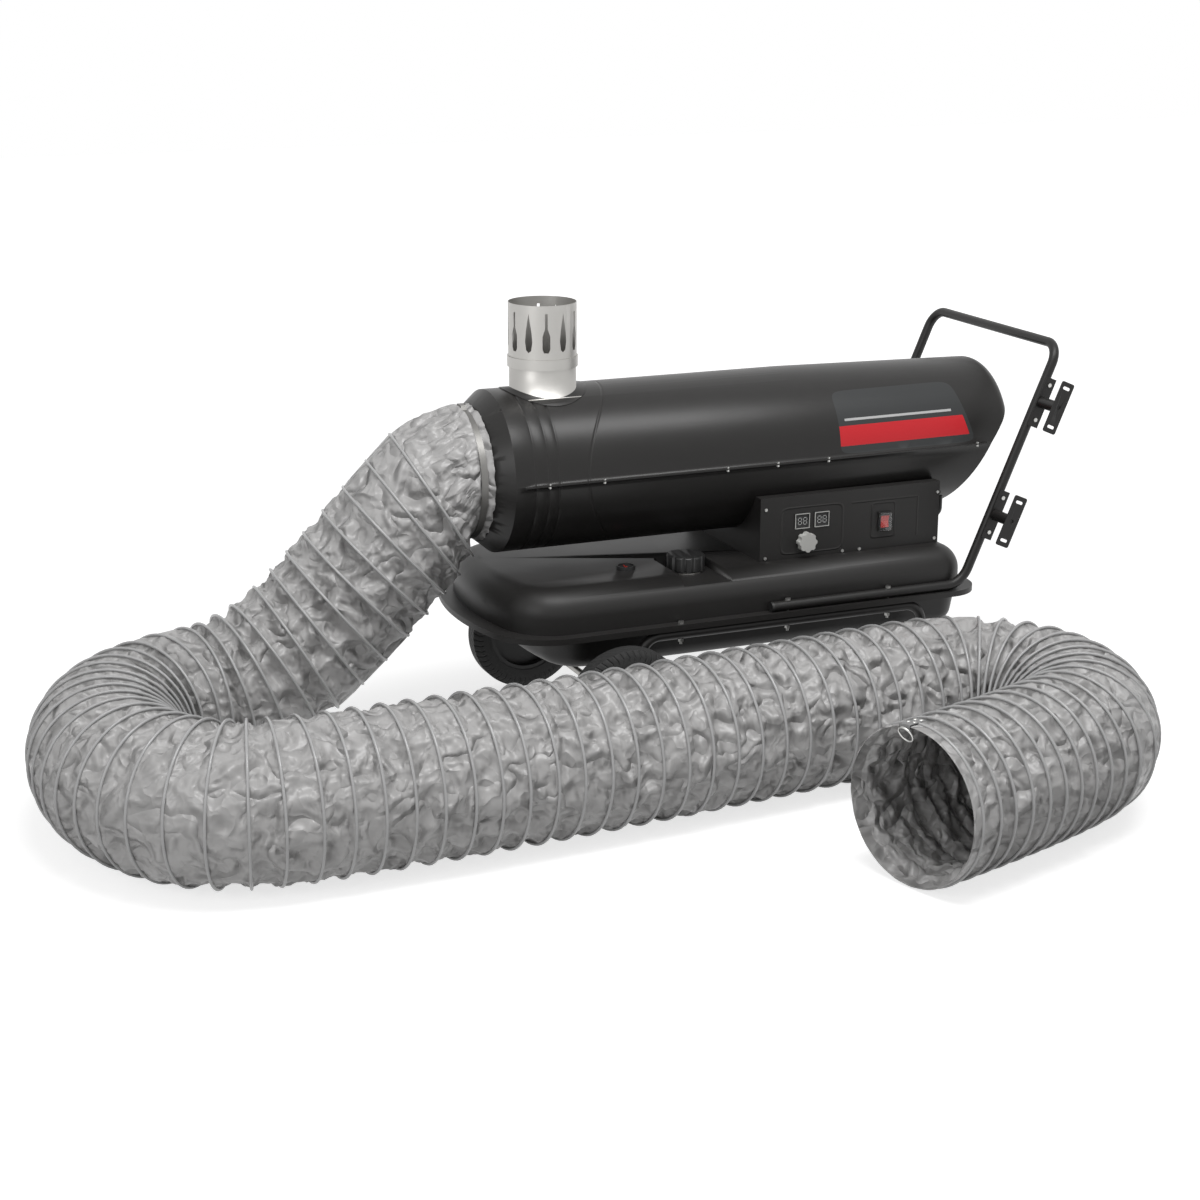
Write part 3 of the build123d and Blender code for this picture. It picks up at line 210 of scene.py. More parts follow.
class Finish(Tree):
    """A material whose pattern is built from Values."""

    def __init__(self, name, colour, roughness, metal=0.0, **sockets):
        self.material = bpy.data.materials.new(name)
        super().__init__(self.material)
        self.shader = self.nodes["Principled BSDF"]
        self.put("Base Color", (*colour, 1.0))
        self.put("Roughness", roughness)
        self.put("Metallic", metal)
        for key, value in sockets.items():
            self.put(key.replace("_", " "), value)
        self.place = self.node("TexCoord", output="Object")

    def put(self, name, value):
        """Sets or links a socket of the shader."""
        self.feed(self.shader.inputs[name], value)

    def stretched(self, x, y, z):
        """The place on the object with each axis counted closer or wider."""
        return self.node("Mapping", None, {"Vector": self.place, "Scale": (x, y, z)})

    def grain(self, scale, detail=3.0, rough=0.55, place=None, warp=0.0):
        """Soft noise from 0 to 1, about one spot for every 1/scale metres."""
        return self.node("TexNoise", None, {
            "Vector": place or self.place, "Scale": scale, "Detail": detail,
            "Roughness": rough, "Distortion": warp})

    def steps(self, value, *stops):
        """A ramp through pairs of place and brightness."""
        return self.node("ValToRGB", {"stops": stops}, {0: value})

    def mixed(self, mask, first, second):
        """One colour where the mask is 0 and another where it is 1."""
        sides = [s if isinstance(s, Value) else (*s, 1.0) for s in (first, second)]
        return self.node("Mix", {"data_type": "RGBA"}, {0: mask, 6: sides[0], 7: sides[1]}, 2)

    def less(self, low, high):
        """1 where low is under high, else 0."""
        return self.node("Math", {"operation": "LESS_THAN"}, {0: low, 1: high})

    def relief(self, height, depth, strength=1.0):
        """Fine relief for the Normal socket; depth is in metres."""
        self.put("Normal", self.node("Bump", None, {
            "Height": height, "Strength": strength, "Distance": depth}))


print("shader classes ready")

# %% [markdown]
# ## Powder coat
#
# Nearly all of the heater is black powder coat. It is never a flat black: the powder flows out into
# a fine orange peel about a millimetre wide, sheen drifts a little from place to place, and dust
# settles on what faces up. Noise at a few sizes gives all of that, and no picture is needed.

# %% Black coats of casing, tank and frame
COAT_BLACK = (0.0150, 0.0142, 0.0136)
DUST = 0.35
TO_DRAWING = 1000.0                     # millimetres of the drawing in a metre


def powder_coat(name, colour, roughness, pressed=None):
    """Black powder coat; pressed gives a height in metres from the finish it is handed."""
    coat = Finish(name, colour, roughness, 0.0, Specular_IOR_Level=0.32)
    peel = coat.grain(750.0, 2.0)
    drift = coat.grain(7.0, 4.0)
    rubbed = coat.steps(coat.grain(38.0, 6.0, 0.7), (0.55, 0.0), (0.75, 1.0))
    facing = coat.node("NewGeometry", output="Normal")
    level = coat.node("SeparateXYZ", None, {0: facing}, 2)
    settled = coat.steps(level, (0.2, 0.0), (1.0, 1.0)) * coat.grain(22.0, 5.0) * DUST
    lighter = tuple(c * 1.9 + 0.008 for c in colour)
    coat.put("Base Color", coat.mixed(settled + rubbed * 0.12, colour, lighter))
    coat.put("Roughness", roughness + (drift - 0.5) * 0.10 + settled * 0.10)
    height = peel * mm(0.018)
    coat.relief(height + pressed(coat) if pressed else height, 1.0)
    return coat


def soft_edge(finish, distance, width):
    """1 on a line and 0 at the given width from it."""
    return finish.node("MapRange", {"interpolation_type": "SMOOTHSTEP"},
                       {"Value": abs(distance), 1: 0.0, 2: width, 3: 1.0, 4: 0.0})


def drawing(finish):
    """Places on the object as millimetres of the drawing: x, y and z."""
    x = finish.node("SeparateXYZ", None, {0: finish.place})
    return x * TO_DRAWING + MIDDLE_X, x.beside(1) * TO_DRAWING, x.beside(2) * TO_DRAWING


casing_coat = powder_coat("casing_coat", COAT_BLACK, 0.34)
tank_coat = powder_coat("tank_coat", (0.0150, 0.0143, 0.0138), 0.44)
frame_coat = powder_coat("frame_coat", (0.0130, 0.0124, 0.0120), 0.40)
print("coats", casing_coat.material.name, tank_coat.material.name, frame_coat.material.name)

# %% [markdown]
# A bent line is pressed into the front of the casing where the inner sheet is fixed. It is
# shallow, so it goes into the finish as relief: a mark is the distance to a line, turned into a
# soft step. The control panel has the frames round its displays and its switch made the same way,
# and so is the edge that is folded round the switch's end.

# %% Coats with pressed marks
BENT_X, BENT_Z, BENT_LEAN, BENT_BOW = 168.7, 600.0, 12.6, 31.0
BENT_WIDE, BENT_DEEP = 5.0, 1.3
DISPLAY_FRAME = (630.0, 403.0, 156.0, 106.0)        # left, low, wide, tall
SWITCH_FRAME = (860.0, 420.0, 62.0, 80.0)
FOLD_LEFT, FOLD_RIGHT, FOLD_LOW, FOLD_TOP = 809.0, 981.0, 414.0, 507.0
FOLD_WIDE, FRAME_WIDE, FRAME_HIGH = 3.0, 2.6, 1.1
PANEL_FRONT = -189.0


def shell_marks(coat):
    """The bent line, on the near side only."""
    x, y, z = drawing(coat)
    rise = (z - BENT_Z) / 100.0
    bent = x - (BENT_X - rise * BENT_LEAN + rise * rise * BENT_BOW)
    near = coat.less(y, 0.0)
    return soft_edge(coat, bent, BENT_WIDE) * near * mm(-BENT_DEEP)


def frame_line(coat, x, z, left, low, wide, tall, corner=10.0):
    """A pressed line round a box with round corners."""
    u = abs((x - (left + wide / 2)) / (wide / 2)) ** corner
    v = abs((z - (low + tall / 2)) / (tall / 2)) ** corner
    out = (u + v) ** (1 / corner) - 1.0
    return soft_edge(coat, out * (min(wide, tall) / 2), FRAME_WIDE)


def panel_marks(coat):
    """Frames and folded edge on the panel's front."""
    x, y, z = drawing(coat)
    front = coat.less(y, PANEL_FRONT)
    height = frame_line(coat, x, z, *DISPLAY_FRAME) + frame_line(coat, x, z, *SWITCH_FRAME)
    along = coat.less(FOLD_LEFT, x) * coat.less(x, FOLD_RIGHT)
    down = coat.less(FOLD_LOW, z) * coat.less(z, FOLD_TOP)
    height = height + soft_edge(coat, z - FOLD_TOP, FOLD_WIDE) * along
    height = height + soft_edge(coat, x - FOLD_RIGHT, FOLD_WIDE) * down
    return height * front * mm(FRAME_HIGH)


casing_pressed = powder_coat("casing_pressed", COAT_BLACK, 0.34, pressed=shell_marks)
panel_coat = powder_coat("panel_coat", (0.0170, 0.0162, 0.0157), 0.44, pressed=panel_marks)
print("pressed coats ready")

# %% [markdown]
# The side of the rear shell carries a large sticker. Here it is a plain one of the same size and
# colours: a dark grey field with one end cut slanting, a red band and a thin pale line.

# %% Coat with a sticker
STICKER = (     # left, low, wide, tall, slant of the right end, squareness, colour
    (783.0, 618.0, 336.0, 132.0, 40.0, 12.0, (0.034, 0.036, 0.037)),
    (783.0, 636.0, 334.0, 44.0, 14.0, 60.0, (0.60, 0.022, 0.030)),
    (800.0, 690.0, 282.0, 5.0, 0.0, 60.0, (0.50, 0.50, 0.50)),
)


def inside(coat, x, z, left, low, wide, tall, slant, corner):
    """1 inside a box with round corners whose right end slants, else 0."""
    stretch = 1.0 + (z - (low + tall / 2)) * (slant / wide / tall)
    u = abs(((x - left) * stretch - wide / 2) / (wide / 2)) ** corner
    v = abs((z - (low + tall / 2)) / (tall / 2)) ** corner
    return coat.less(u + v, 1.0)


sticker_coat = powder_coat("sticker_coat", COAT_BLACK, 0.34)
x, y, z = drawing(sticker_coat)
near = sticker_coat.less(y, 0.0)
shown = Value(sticker_coat, sticker_coat.shader.inputs["Base Color"].links[0].from_socket)
for *box, colour in STICKER:
    shown = sticker_coat.mixed(inside(sticker_coat, x, z, *box) * near, shown, colour)
sticker_coat.put("Base Color", shown)
print("sticker ready")

# %% [markdown]
# ## Steel, zinc and castings
#
# The flue is bright stainless sheet with the mill's fine lines running round it. Fixings are zinc
# plated, cast pieces are sandy, and the drum has been hot, so its sheet is straw brown and blue.
# The brush lines are noise that is stretched along one axis.

# %% Metals
def brushed(name, colour, roughness, stretch, stain=0.12):
    """Sheet steel with brush lines, stretched along one axis."""
    steel = Finish(name, colour, roughness, 1.0)
    lines = steel.grain(1.0, 4.0, 0.6, steel.stretched(*stretch))
    cloud = steel.grain(11.0, 4.0)
    darker = tuple(c * (1 - stain * 2) for c in colour)
    steel.put("Base Color", steel.mixed(cloud * 0.7 + lines * 0.3, darker, colour))
    steel.put("Roughness", roughness + (lines - 0.5) * 0.22 + (cloud - 0.5) * 0.12)
    steel.relief(lines, mm(0.02), 0.4)
    return steel


def cast(name, colour, roughness, metal, size=500.0):
    """A sandy skin of metal or paint."""
    metal_skin = Finish(name, colour, roughness, metal)
    sand = metal_skin.grain(size, 3.0)
    cloud = metal_skin.grain(16.0, 4.0)
    darker = tuple(c * 0.6 for c in colour)
    metal_skin.put("Base Color", metal_skin.mixed(cloud, darker, colour))
    metal_skin.put("Roughness", roughness + (sand - 0.5) * 0.2)
    metal_skin.relief(sand, mm(0.12), 0.6)
    return metal_skin


bare_steel = brushed("bare_steel", (0.50, 0.49, 0.47), 0.40, (12.0, 12.0, 900.0))
clamp_steel = brushed("clamp_steel", (0.27, 0.265, 0.255), 0.46, (220.0, 60.0, 60.0), 0.25)
drum_steel = brushed("drum_steel", (0.42, 0.36, 0.30), 0.42, (900.0, 12.0, 12.0), 0.3)
zinc = cast("zinc_fixings", (0.66, 0.66, 0.64), 0.30, 1.0, 900.0)
cast_alloy = cast("cast_alloy", (0.52, 0.52, 0.52), 0.5, 0.9)
motor_case = cast("motor_case", (0.10, 0.10, 0.11), 0.5, 0.0, 900.0)
black_wire = cast("black_wire", (0.02, 0.02, 0.02), 0.42, 0.0, 900.0)
print("metals ready")

# %% [markdown]
# ## Plastics, rubber and the circuit board
#
# Moulded plastic carries the spark grain of its tool, a fine even roughness. Rubber is duller and
# blooms grey in patches. The base colours differ, the recipe is the same.

# %% Moulded finishes
def moulded(name, colour, roughness, grain_size=1300.0, depth=0.04, bloom=0.25):
    """Plastic or rubber with the grain of its tool."""
    skin = Finish(name, colour, roughness)
    spark = skin.grain(grain_size, 2.0)
    patch = skin.steps(skin.grain(28.0, 5.0), (0.45, 0.0), (0.8, 1.0))
    paler = tuple(c * 1.5 + 0.012 for c in colour)
    skin.put("Base Color", skin.mixed(patch * bloom, colour, paler))
    skin.put("Roughness", roughness + (spark - 0.5) * 0.16)
    skin.relief(spark, mm(depth), 0.5)
    return skin


black_plastic = moulded("black_plastic", (0.016, 0.016, 0.016), 0.46)
grey_plastic = moulded("grey_plastic", (0.52, 0.52, 0.50), 0.42, bloom=0.1)
rocker_red = moulded("rocker_red", (0.55, 0.018, 0.014), 0.28, depth=0.01, bloom=0.05)
needle_red = moulded("needle_red", (0.55, 0.03, 0.02), 0.35, bloom=0.05)
board_green = moulded("board_green", (0.02, 0.14, 0.06), 0.4)
seal_rubber = moulded("seal_rubber", (0.022, 0.022, 0.022), 0.7, 700.0, 0.1)
black_rubber = moulded("black_rubber", (0.016, 0.016, 0.016), 0.55, 700.0, 0.08)
tyre_rubber = moulded("tyre_rubber", (0.020, 0.020, 0.020), 0.68, 500.0, 0.15, 0.4)
rim_plastic = moulded("rim_plastic", (0.024, 0.024, 0.024), 0.5)
print("mouldings ready")

# %% [markdown]
# The tread of the tyres is a row of slanting grooves. The angle round the axle is counted in
# grooves and wrapped back to a share from 0 to 1, and each groove is a soft line at its middle.

# %% Tread of the tyres
WHEEL_X, WHEEL_Z, TREAD_R = 203.0, 135.0, 112.0
GROOVES, GROOVE_SLANT, GROOVE_WIDE, GROOVE_DEEP = 56, 0.06, 0.22, 2.2
x, y, z = drawing(tyre_rubber)
ahead_of, above = x - WHEEL_X, z - WHEEL_Z
turned = tyre_rubber.node("Math", {"operation": "ARCTAN2"}, {0: above, 1: ahead_of})
from_axle = (ahead_of * ahead_of + above * above) ** 0.5
counted = turned * (GROOVES / math.tau) + abs(y) * GROOVE_SLANT
share_of_one = tyre_rubber.node("Math", {"operation": "WRAP"}, {0: counted, 1: 1.0, 2: 0.0})
groove = soft_edge(tyre_rubber, share_of_one - 0.5, GROOVE_WIDE)
tyre_rubber.relief(groove * tyre_rubber.less(TREAD_R, from_axle) * mm(-GROOVE_DEEP), 1.0)
print("tread of", GROOVES, "grooves")

# %% [markdown]
# ## Duct fabric
#
# The duct is a coated cloth, silver grey, a little shiny on its outside. At arm's length one sees
# the weave through the coat, and everywhere small creases from being folded for storage. The big
# folds are modelled, so the finish only needs the weave, the fine creases, patches of grime and
# painted shade along the crease lines.

# %% Coated cloth and coated wire
def coated_cloth(name, colour, roughness):
    """Woven cloth with creases under its coat, patches of grime and painted shade along the
    creases.
    """
    cloth = Finish(name, colour, roughness)
    weave = cloth.grain(1500.0, 1.0)
    crease_and_shade = abs(cloth.grain(15.0, 1.0, 0.4, None, 0.5) - 0.5) * 2.0
    cross = abs(cloth.grain(28.0, 1.0, 0.4, None, 0.4) - 0.5) * 2.0
    grime = cloth.steps(cloth.grain(9.0, 5.0, 0.6), (0.35, 0.0), (0.75, 1.0))
    darker = tuple(c * 0.74 for c in colour)
    # Painted shade: the colour darkens along the crease lines, which the relief below makes into
    # valleys; the grime patches are dirt.
    cloth.put("Base Color", cloth.mixed(grime * 0.30 + (1 - crease_and_shade) * 0.16, colour, darker))
    cloth.put("Roughness", roughness + (cross - 0.3) * 0.10)
    cloth.relief(crease_and_shade * mm(34.0) - cross * mm(7.0) + weave * mm(0.03), 1.0, 0.95)
    return cloth


duct_fabric = coated_cloth("duct_fabric", (0.45, 0.444, 0.44), 0.36)
wire_coat = moulded("wire_coat", (0.42, 0.42, 0.42), 0.24, 900.0, 0.02, 0.1)
webbing = moulded("webbing", (0.24, 0.24, 0.24), 0.6, 800.0, 0.25, 0.3)
print("duct finishes ready")

# %% [markdown]
# ## Measured pieces in their finishes
#
# The measured pieces come as loose triangles, which would show every facet. Each one is copied, its
# doubled points are merged, flat areas are dissolved back into single faces, and edges sharper than
# an angle stay sharp while the rest shade smooth. The copy replaces the measured piece in the
# picture, and the measured one stays for the physics.

# %% Copy, merge and shade a measured piece
def meshed(name, form):
    """The mesh of a bmesh, which is then let go."""
    mesh = bpy.data.meshes.new(name)
    form.to_mesh(mesh)
    form.free()
    return mesh


def into_scene(name, form, finish, body, replaced=(), smooth=35.0):
    """Makes a finished piece from a bmesh and lets it ride on its body."""
    form.normal_update()
    mesh = meshed(name, form)
    mesh.materials.append(finish.material)
    mesh.polygons.foreach_set("use_smooth", [True] * len(mesh.polygons))
    mesh.set_sharp_from_angle(angle=math.radians(smooth))
    made = placed(name, mesh)
    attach(made, body)
    if replaced:
        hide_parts(*replaced)
    return made


def measured(node):
    """A merged bmesh copy of a measured piece."""
    form = bmesh.new()
    form.from_mesh(frame["nodes"][node].data)
    bmesh.ops.remove_doubles(form, verts=form.verts, dist=mm(0.01))
    bmesh.ops.dissolve_limit(form, angle_limit=math.radians(0.5), verts=form.verts,
                             edges=form.edges, delimit=set())
    return form


def dressed(node, finish, shaped=None):
    """Dresses a measured piece, after its copy has been shaped further where that is asked."""
    form = measured(node)
    if shaped:
        shaped(form)
    body = frame["nodes"][node]["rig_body"]
    return into_scene(node + "_dressed", form, finish, body, (node,))


print("tools for measured pieces ready")

# %% [markdown]
# Three beads are rolled round the front of the casing, to stiffen it. The copy of the shell is
# cut by planes across its length, which gives loops of points where a bead runs, and these points
# are drawn in toward the casing's axis by a rounded profile. The inner wall follows, so the sheet
# keeps its thickness.

# %% Rolled beads
BEADS = (47.0, 77.0, 102.0)
BEAD_HALF, BEAD_DEPTH = 4.5, 1.8
BEAD_CUTS = (-1.0, -0.6, -0.25, 0.25, 0.6, 1.0)     # in halves of a bead's width
CASING_R = 179.5


def roll_beads(form):
    """Cuts the sheet across its length and draws the new points in toward the axis."""
    for bead in BEADS:
        for step in BEAD_CUTS:
            bmesh.ops.bisect_plane(form, geom=form.verts[:] + form.edges[:] + form.faces[:],
                                   dist=1e-6, plane_co=at(bead + step * BEAD_HALF, 0, 0),
                                   plane_no=(1, 0, 0))
    moved = 0
    for v in form.verts:
        x, y, z = v.co.x * 1000 + MIDDLE_X, v.co.y * 1000, v.co.z * 1000 - CASING_Z
        radius = math.hypot(y, z)
        off = min(abs(x - bead) for bead in BEADS)
        if off < BEAD_HALF and CASING_R - 5 < radius < CASING_R + 1:
            drawn = 1 - BEAD_DEPTH * (1 + math.cos(math.pi * off / BEAD_HALF)) / 2 / radius
            v.co.y, v.co.z = mm(y * drawn), mm(z * drawn + CASING_Z)
            moved += 1
    print("points drawn in for the beads", moved)


print("beads at", BEADS)

# %% [markdown]
# Most measured pieces share a finish with others, so one table lists the pieces of each finish by
# the material slot they have. A few have a finish or a shape of their own and come one by one.

# %% Which finish each measured piece has
COATED = {
    "casing_coat": (casing_coat, ("outlet_cone",)),
    "tank_coat": (tank_coat, ("tank_upper", "tank_lower", "side_cover", "saddle_front",
                              "saddle_rear")),
    "frame_coat": (frame_coat, ("handle_tube", "cord_wrap_upper", "cord_wrap_lower",
                                "frame_tube_near", "frame_tube_far", "stand_bar")),
    "bare_steel": (bare_steel, ("flue_stub", "flue_cowl", "filler_neck", "drain_plug", "axle",
                                "motor_bracket", "fuel_lines", "drum_cradles")),
    "drum_steel": (drum_steel, ("combustion_drum",)),
    "cast_alloy": (cast_alloy, ("burner_head", "fuel_pump", "fan_rotor")),
    "motor_case": (motor_case, ("fan_motor", "ignition_transformer")),
    "black_wire": (black_wire, ("fan_guard",)),
    "black_plastic": (black_plastic, ("fuel_cap", "gauge_body", "gauge_float", "displays",
                                      "thermostat", "rocker_bezel", "handle_plugs",
                                      "axle_caps")),
    "grey_plastic": (grey_plastic, ("thermostat_knob",)),
    "rocker_red": (rocker_red, ("power_rocker",)),
    "needle_red": (needle_red, ("gauge_needle",)),
    "board_green": (board_green, ("control_board",)),
    "seal_rubber": (seal_rubber, ("cap_seal", "stand_feet")),
    "black_rubber": (black_rubber, ("cable_conduit",)),
    "tyre_rubber": (tyre_rubber, ("tyre_near", "tyre_far")),
    "rim_plastic": (rim_plastic, ("rim_near", "rim_far")),
    "zinc_fixings": (zinc, ("casing_screws", "flange_bolts", "panel_screws", "wrap_screws")),
}
OWN_FINISH = (
    ("upper_shell_front", casing_pressed, "casing_coat", roll_beads),
    ("lower_shell", casing_pressed, "casing_coat", roll_beads),
    ("upper_shell_rear", sticker_coat, "casing_coat", None),
    ("control_panel", panel_coat, "tank_coat", None),
    ("duct_clamp", clamp_steel, "bare_steel", None),
)
for slot, (finish, nodes) in COATED.items():
    for node in nodes:
        dressed(node, finish)
for node, finish, slot, shaped in OWN_FINISH:
    dressed(node, finish, shaped)
shared = sum(len(nodes) for finish, nodes in COATED.values())
print("dressed", shared + len(OWN_FINISH), "measured pieces")

# %% [markdown]
# The flue stands on a ring that is bent to the casing and coated with it, while the stub itself
# stays bright. Both are one piece, so the faces further out than the stub get a second material.

# %% Coat on the saddle ring of the flue
FLUE_X, STUB_R = 131.7, 76.5
flue = bpy.data.objects["flue_stub_dressed"].data
flue.materials.append(casing_coat.material)
coated = 0
for face in flue.polygons:
    spot = face.center - at(FLUE_X, 0, 0)
    if math.hypot(spot.x, spot.y) > mm(STUB_R):
        face.material_index = 1
        coated += 1
print("flue faces coated black", coated)

# %% [markdown]
# ## The duct's path
#
# The duct leaves the outlet, drops to the floor, turns round and runs past the heater to a second
# bend. Its middle line is one smooth spline through a few points. Blender works the spline out, and
# the line is read back as points, so that rings can be placed along it by length.

# %% Read the smooth line back from a spline
DUCT_ROUTE = (
    (-130, 0, 569.5), (-396, 41, 258), (-590, 27, 163.6), (-721, -3, 163.6),
    (-860, -100, 163.6), (-914, -260, 163.6), (-902, -436, 163.6), (-796, -597, 163.6),
    (-622, -637, 163.6), (-150, -620, 163.6), (334, -579, 163.6), (742, -536, 163.6),
    (879, -543, 163.6), (981, -616, 163.6), (1024, -734, 163.6), (996, -855, 163.6),
    (895, -980, 163.6), (454, -1109, 163.6),
)


def smooth_line(name, route):
    """Points of the NURBS line that has the route's points as its control points."""
    curve = bpy.data.curves.new(name, "CURVE")
    curve.dimensions = "3D"
    spline = curve.splines.new("NURBS")
    spline.points.add(len(route) - 1)
    for point, place in zip(spline.points, route):
        point.co = (*at(*place), 1.0)
    spline.order_u = 3
    spline.use_endpoint_u = True
    spline.resolution_u = 48
    holder = placed(name, curve)
    bpy.context.view_layer.update()
    mesh = bpy.data.meshes.new_from_object(holder)
    points = [v.co.copy() for v in mesh.vertices]
    bpy.data.objects.remove(holder)
    bpy.data.curves.remove(curve)
    bpy.data.meshes.remove(mesh)
    return points


class Line:
    """A line of points that is walked by length."""

    def __init__(self, points):
        self.points = points
        self.reached = [0.0]
        for a, b in zip(points, points[1:]):
            self.reached.append(self.reached[-1] + (b - a).length)
        self.length = self.reached[-1]

    def point(self, way):
        """The point that lies a length along the line."""
        way = min(max(way, 0.0), self.length)
        low, high = 0, len(self.points) - 1
        while high - low > 1:
            half = (low + high) // 2
            low, high = (half, high) if self.reached[half] <= way else (low, half)
        step = self.reached[high] - self.reached[low] or 1.0
        return self.points[low].lerp(self.points[high], (way - self.reached[low]) / step)

    def heading(self, way, reach=0.02):
        """The line's direction there."""
        further = self.point(min(way + reach, self.length))
        return (further - self.point(max(min(way, self.length) - reach, 0.0))).normalized()


duct_line = Line(smooth_line("duct_line", DUCT_ROUTE))
print("duct line", round(duct_line.length, 3), "m,", len(duct_line.points), "points")

# %% [markdown]
# ## Rings of wire
#
# A steel wire, coated with the same plastic as the cloth, holds the duct open. Its turns stand
# closer on the stretches that are pushed together. Where the duct hangs, gravity keeps the turns
# steeper than the path, so the first ones get their own tilt. Each ring then leans a degree or so
# its own way, because nothing in cloth is exact.

# %% Where each ring stands
STRETCHES = ((13, 68.0), (16, 50.0), (28, 61.0), (20, 50.0))    # rings and their spacing
HANG_TILTS = (32.0, 38.0, 41.0, 42.5, 42.6, 40.0, 35.0, 29.0)
RING_COUNT = sum(count for count, spacing in STRETCHES)
WIRE_R = mm(3.3)
RING_R = mm(163.3) - WIRE_R
CLOTH_R = RING_R - mm(1.6)
RING_STANDS = mm(163.5)                 # outer radius of a ring and a little air to the floor
LEAN = math.radians(1.1)


def share(place):
    """Share of the line's length at which a ring stands."""
    total = sum(count * spacing for count, spacing in STRETCHES)
    done = 0.0
    for count, spacing in STRETCHES:
        step = min(place, count)
        done += step * spacing
        place -= step
    return min(done / total, 1.0)


def wobble(place, seed):
    """A repeatable number from -1 to 1 for a ring."""
    return noise.noise(Vector((place * 0.73 + 11.3, seed * 5.7, 0.5))) * 1.6


class Ring:
    """Centre and axes of a ring: out is its normal, side and top span its plane."""

    def __init__(self, place):
        way = share(place) * duct_line.length
        heading = duct_line.heading(way)
        turn = math.atan2(heading.y, heading.x)
        tilt = -math.asin(heading.z)
        if place < len(HANG_TILTS):
            tilt = math.radians(HANG_TILTS[int(place)])
        lean = LEAN if 0 < place < RING_COUNT else 0.0
        turn += wobble(place, 1.0) * lean
        tilt += wobble(place, 2.0) * lean
        self.centre = duct_line.point(way)
        self.out = Vector((math.cos(tilt) * math.cos(turn), math.cos(tilt) * math.sin(turn),
                           -math.sin(tilt)))
        self.side = self.out.cross(Vector((0, 0, 1))).normalized()
        self.top = self.side.cross(self.out)
        if place >= len(HANG_TILTS):
            self.centre.z += max(0.0, RING_STANDS * self.top.z - self.centre.z)

    def point(self, angle, radius):
        """A point in the ring's plane."""
        return self.centre + (self.side * math.cos(angle) + self.top * math.sin(angle)) * radius

    def matrix(self):
        """Brings a ring that lies flat at the origin into place."""
        return Matrix.Translation(self.centre) @ Matrix(
            (self.side, self.top, self.side.cross(self.top))).transposed().to_4x4()


rings = [Ring(place) for place in range(RING_COUNT + 1)]
print("rings", len(rings), "first at", rings[0].centre, "last at", rings[-1].centre)

# %% [markdown]
# A ring is a small circle spun round the duct's axis. It has few faces, because there are many
# of them, and it is moved into place by the ring's own matrix.

# %% Wire rings
def wire_ring(radius, wire, steps=64, sides=8):
    """Mesh of one closed ring of wire about the upright axis."""
    form = bmesh.new()
    start = bmesh.ops.create_circle(form, segments=sides, radius=wire,
                                    matrix=Matrix.Translation((radius, 0, 0))
                                    @ Matrix.Rotation(math.pi / 2, 4, "X"))["verts"]
    bmesh.ops.spin(form, geom=start + form.edges[:], cent=(0, 0, 0), axis=(0, 0, 1),
                   angle=2 * math.pi, steps=steps, use_merge=True)
    bmesh.ops.recalc_face_normals(form, faces=form.faces)
    return meshed("wire_ring", form)


one_ring = wire_ring(RING_R, WIRE_R)
form = bmesh.new()
for ring in rings:
    turned = one_ring.copy()
    turned.transform(ring.matrix())
    form.from_mesh(turned)
    bpy.data.meshes.remove(turned)
into_scene("duct_wire", form, wire_coat, "heater", ("duct_hose",), 80.0)
print("wire rings made", len(rings))

# %% [markdown]
# ## Fabric between the rings
#
# Between two wires the cloth is wider than the gap, so it falls in behind each wire and folds
# deepest where a bend squeezes the wires together. Loose cloth then creases: broad facets that
# meet in sharp ridges and valleys, with small gathers where it is welded to the wire. Noise that
# is folded at zero gives such sharp lines, and warping it first makes the lines curve and fork.
# A grid is made by the operator and its points are moved: round the duct and along it.

# %% Crumple of the cloth
CREASES = ((12.0, 3.1, 0.46), (17.0, 7.7, -0.36), (29.0, 1.3, 0.18))   # scale, seed, weight
NOISE_R = 0.16                          # radius at which the noise is read, in metres
WARP_SCALE, WARP = 11.0, 0.017
CREASE_SEED = 7                         # without it noise_vector draws from the clock
noise.seed_set(CREASE_SEED)


def ridge(place, scale, seed):
    """Sharp ridges where the noise crosses zero, from about -1 to 1."""
    return 1.0 - 2.6 * abs(noise.noise(place * scale + Vector((seed, seed * 0.7, -seed))))


def crumple(angle, way):
    """Height of the creases at a place of the cloth, from about -1 to 1."""
    place = Vector((math.cos(angle) * NOISE_R, math.sin(angle) * NOISE_R, way))
    place += noise.noise_vector(place * WARP_SCALE) * WARP
    return sum(weight * ridge(place, scale, seed) for scale, seed, weight in CREASES)


CLOTH_WIDTH = mm(71.0)                  # cloth between two wires, laid flat
ROWS, AROUND = 14, 236
SAG_MOST, BULGE_MOST, OFF_FLOOR = mm(20.0), mm(2.0), mm(0.9)
FOLD_DEEP, GATHER_DEEP = mm(19.0), mm(2.6)
GATHER_AT, GATHER_WIDE = 0.16, 0.12     # shares of the way from one wire to the next


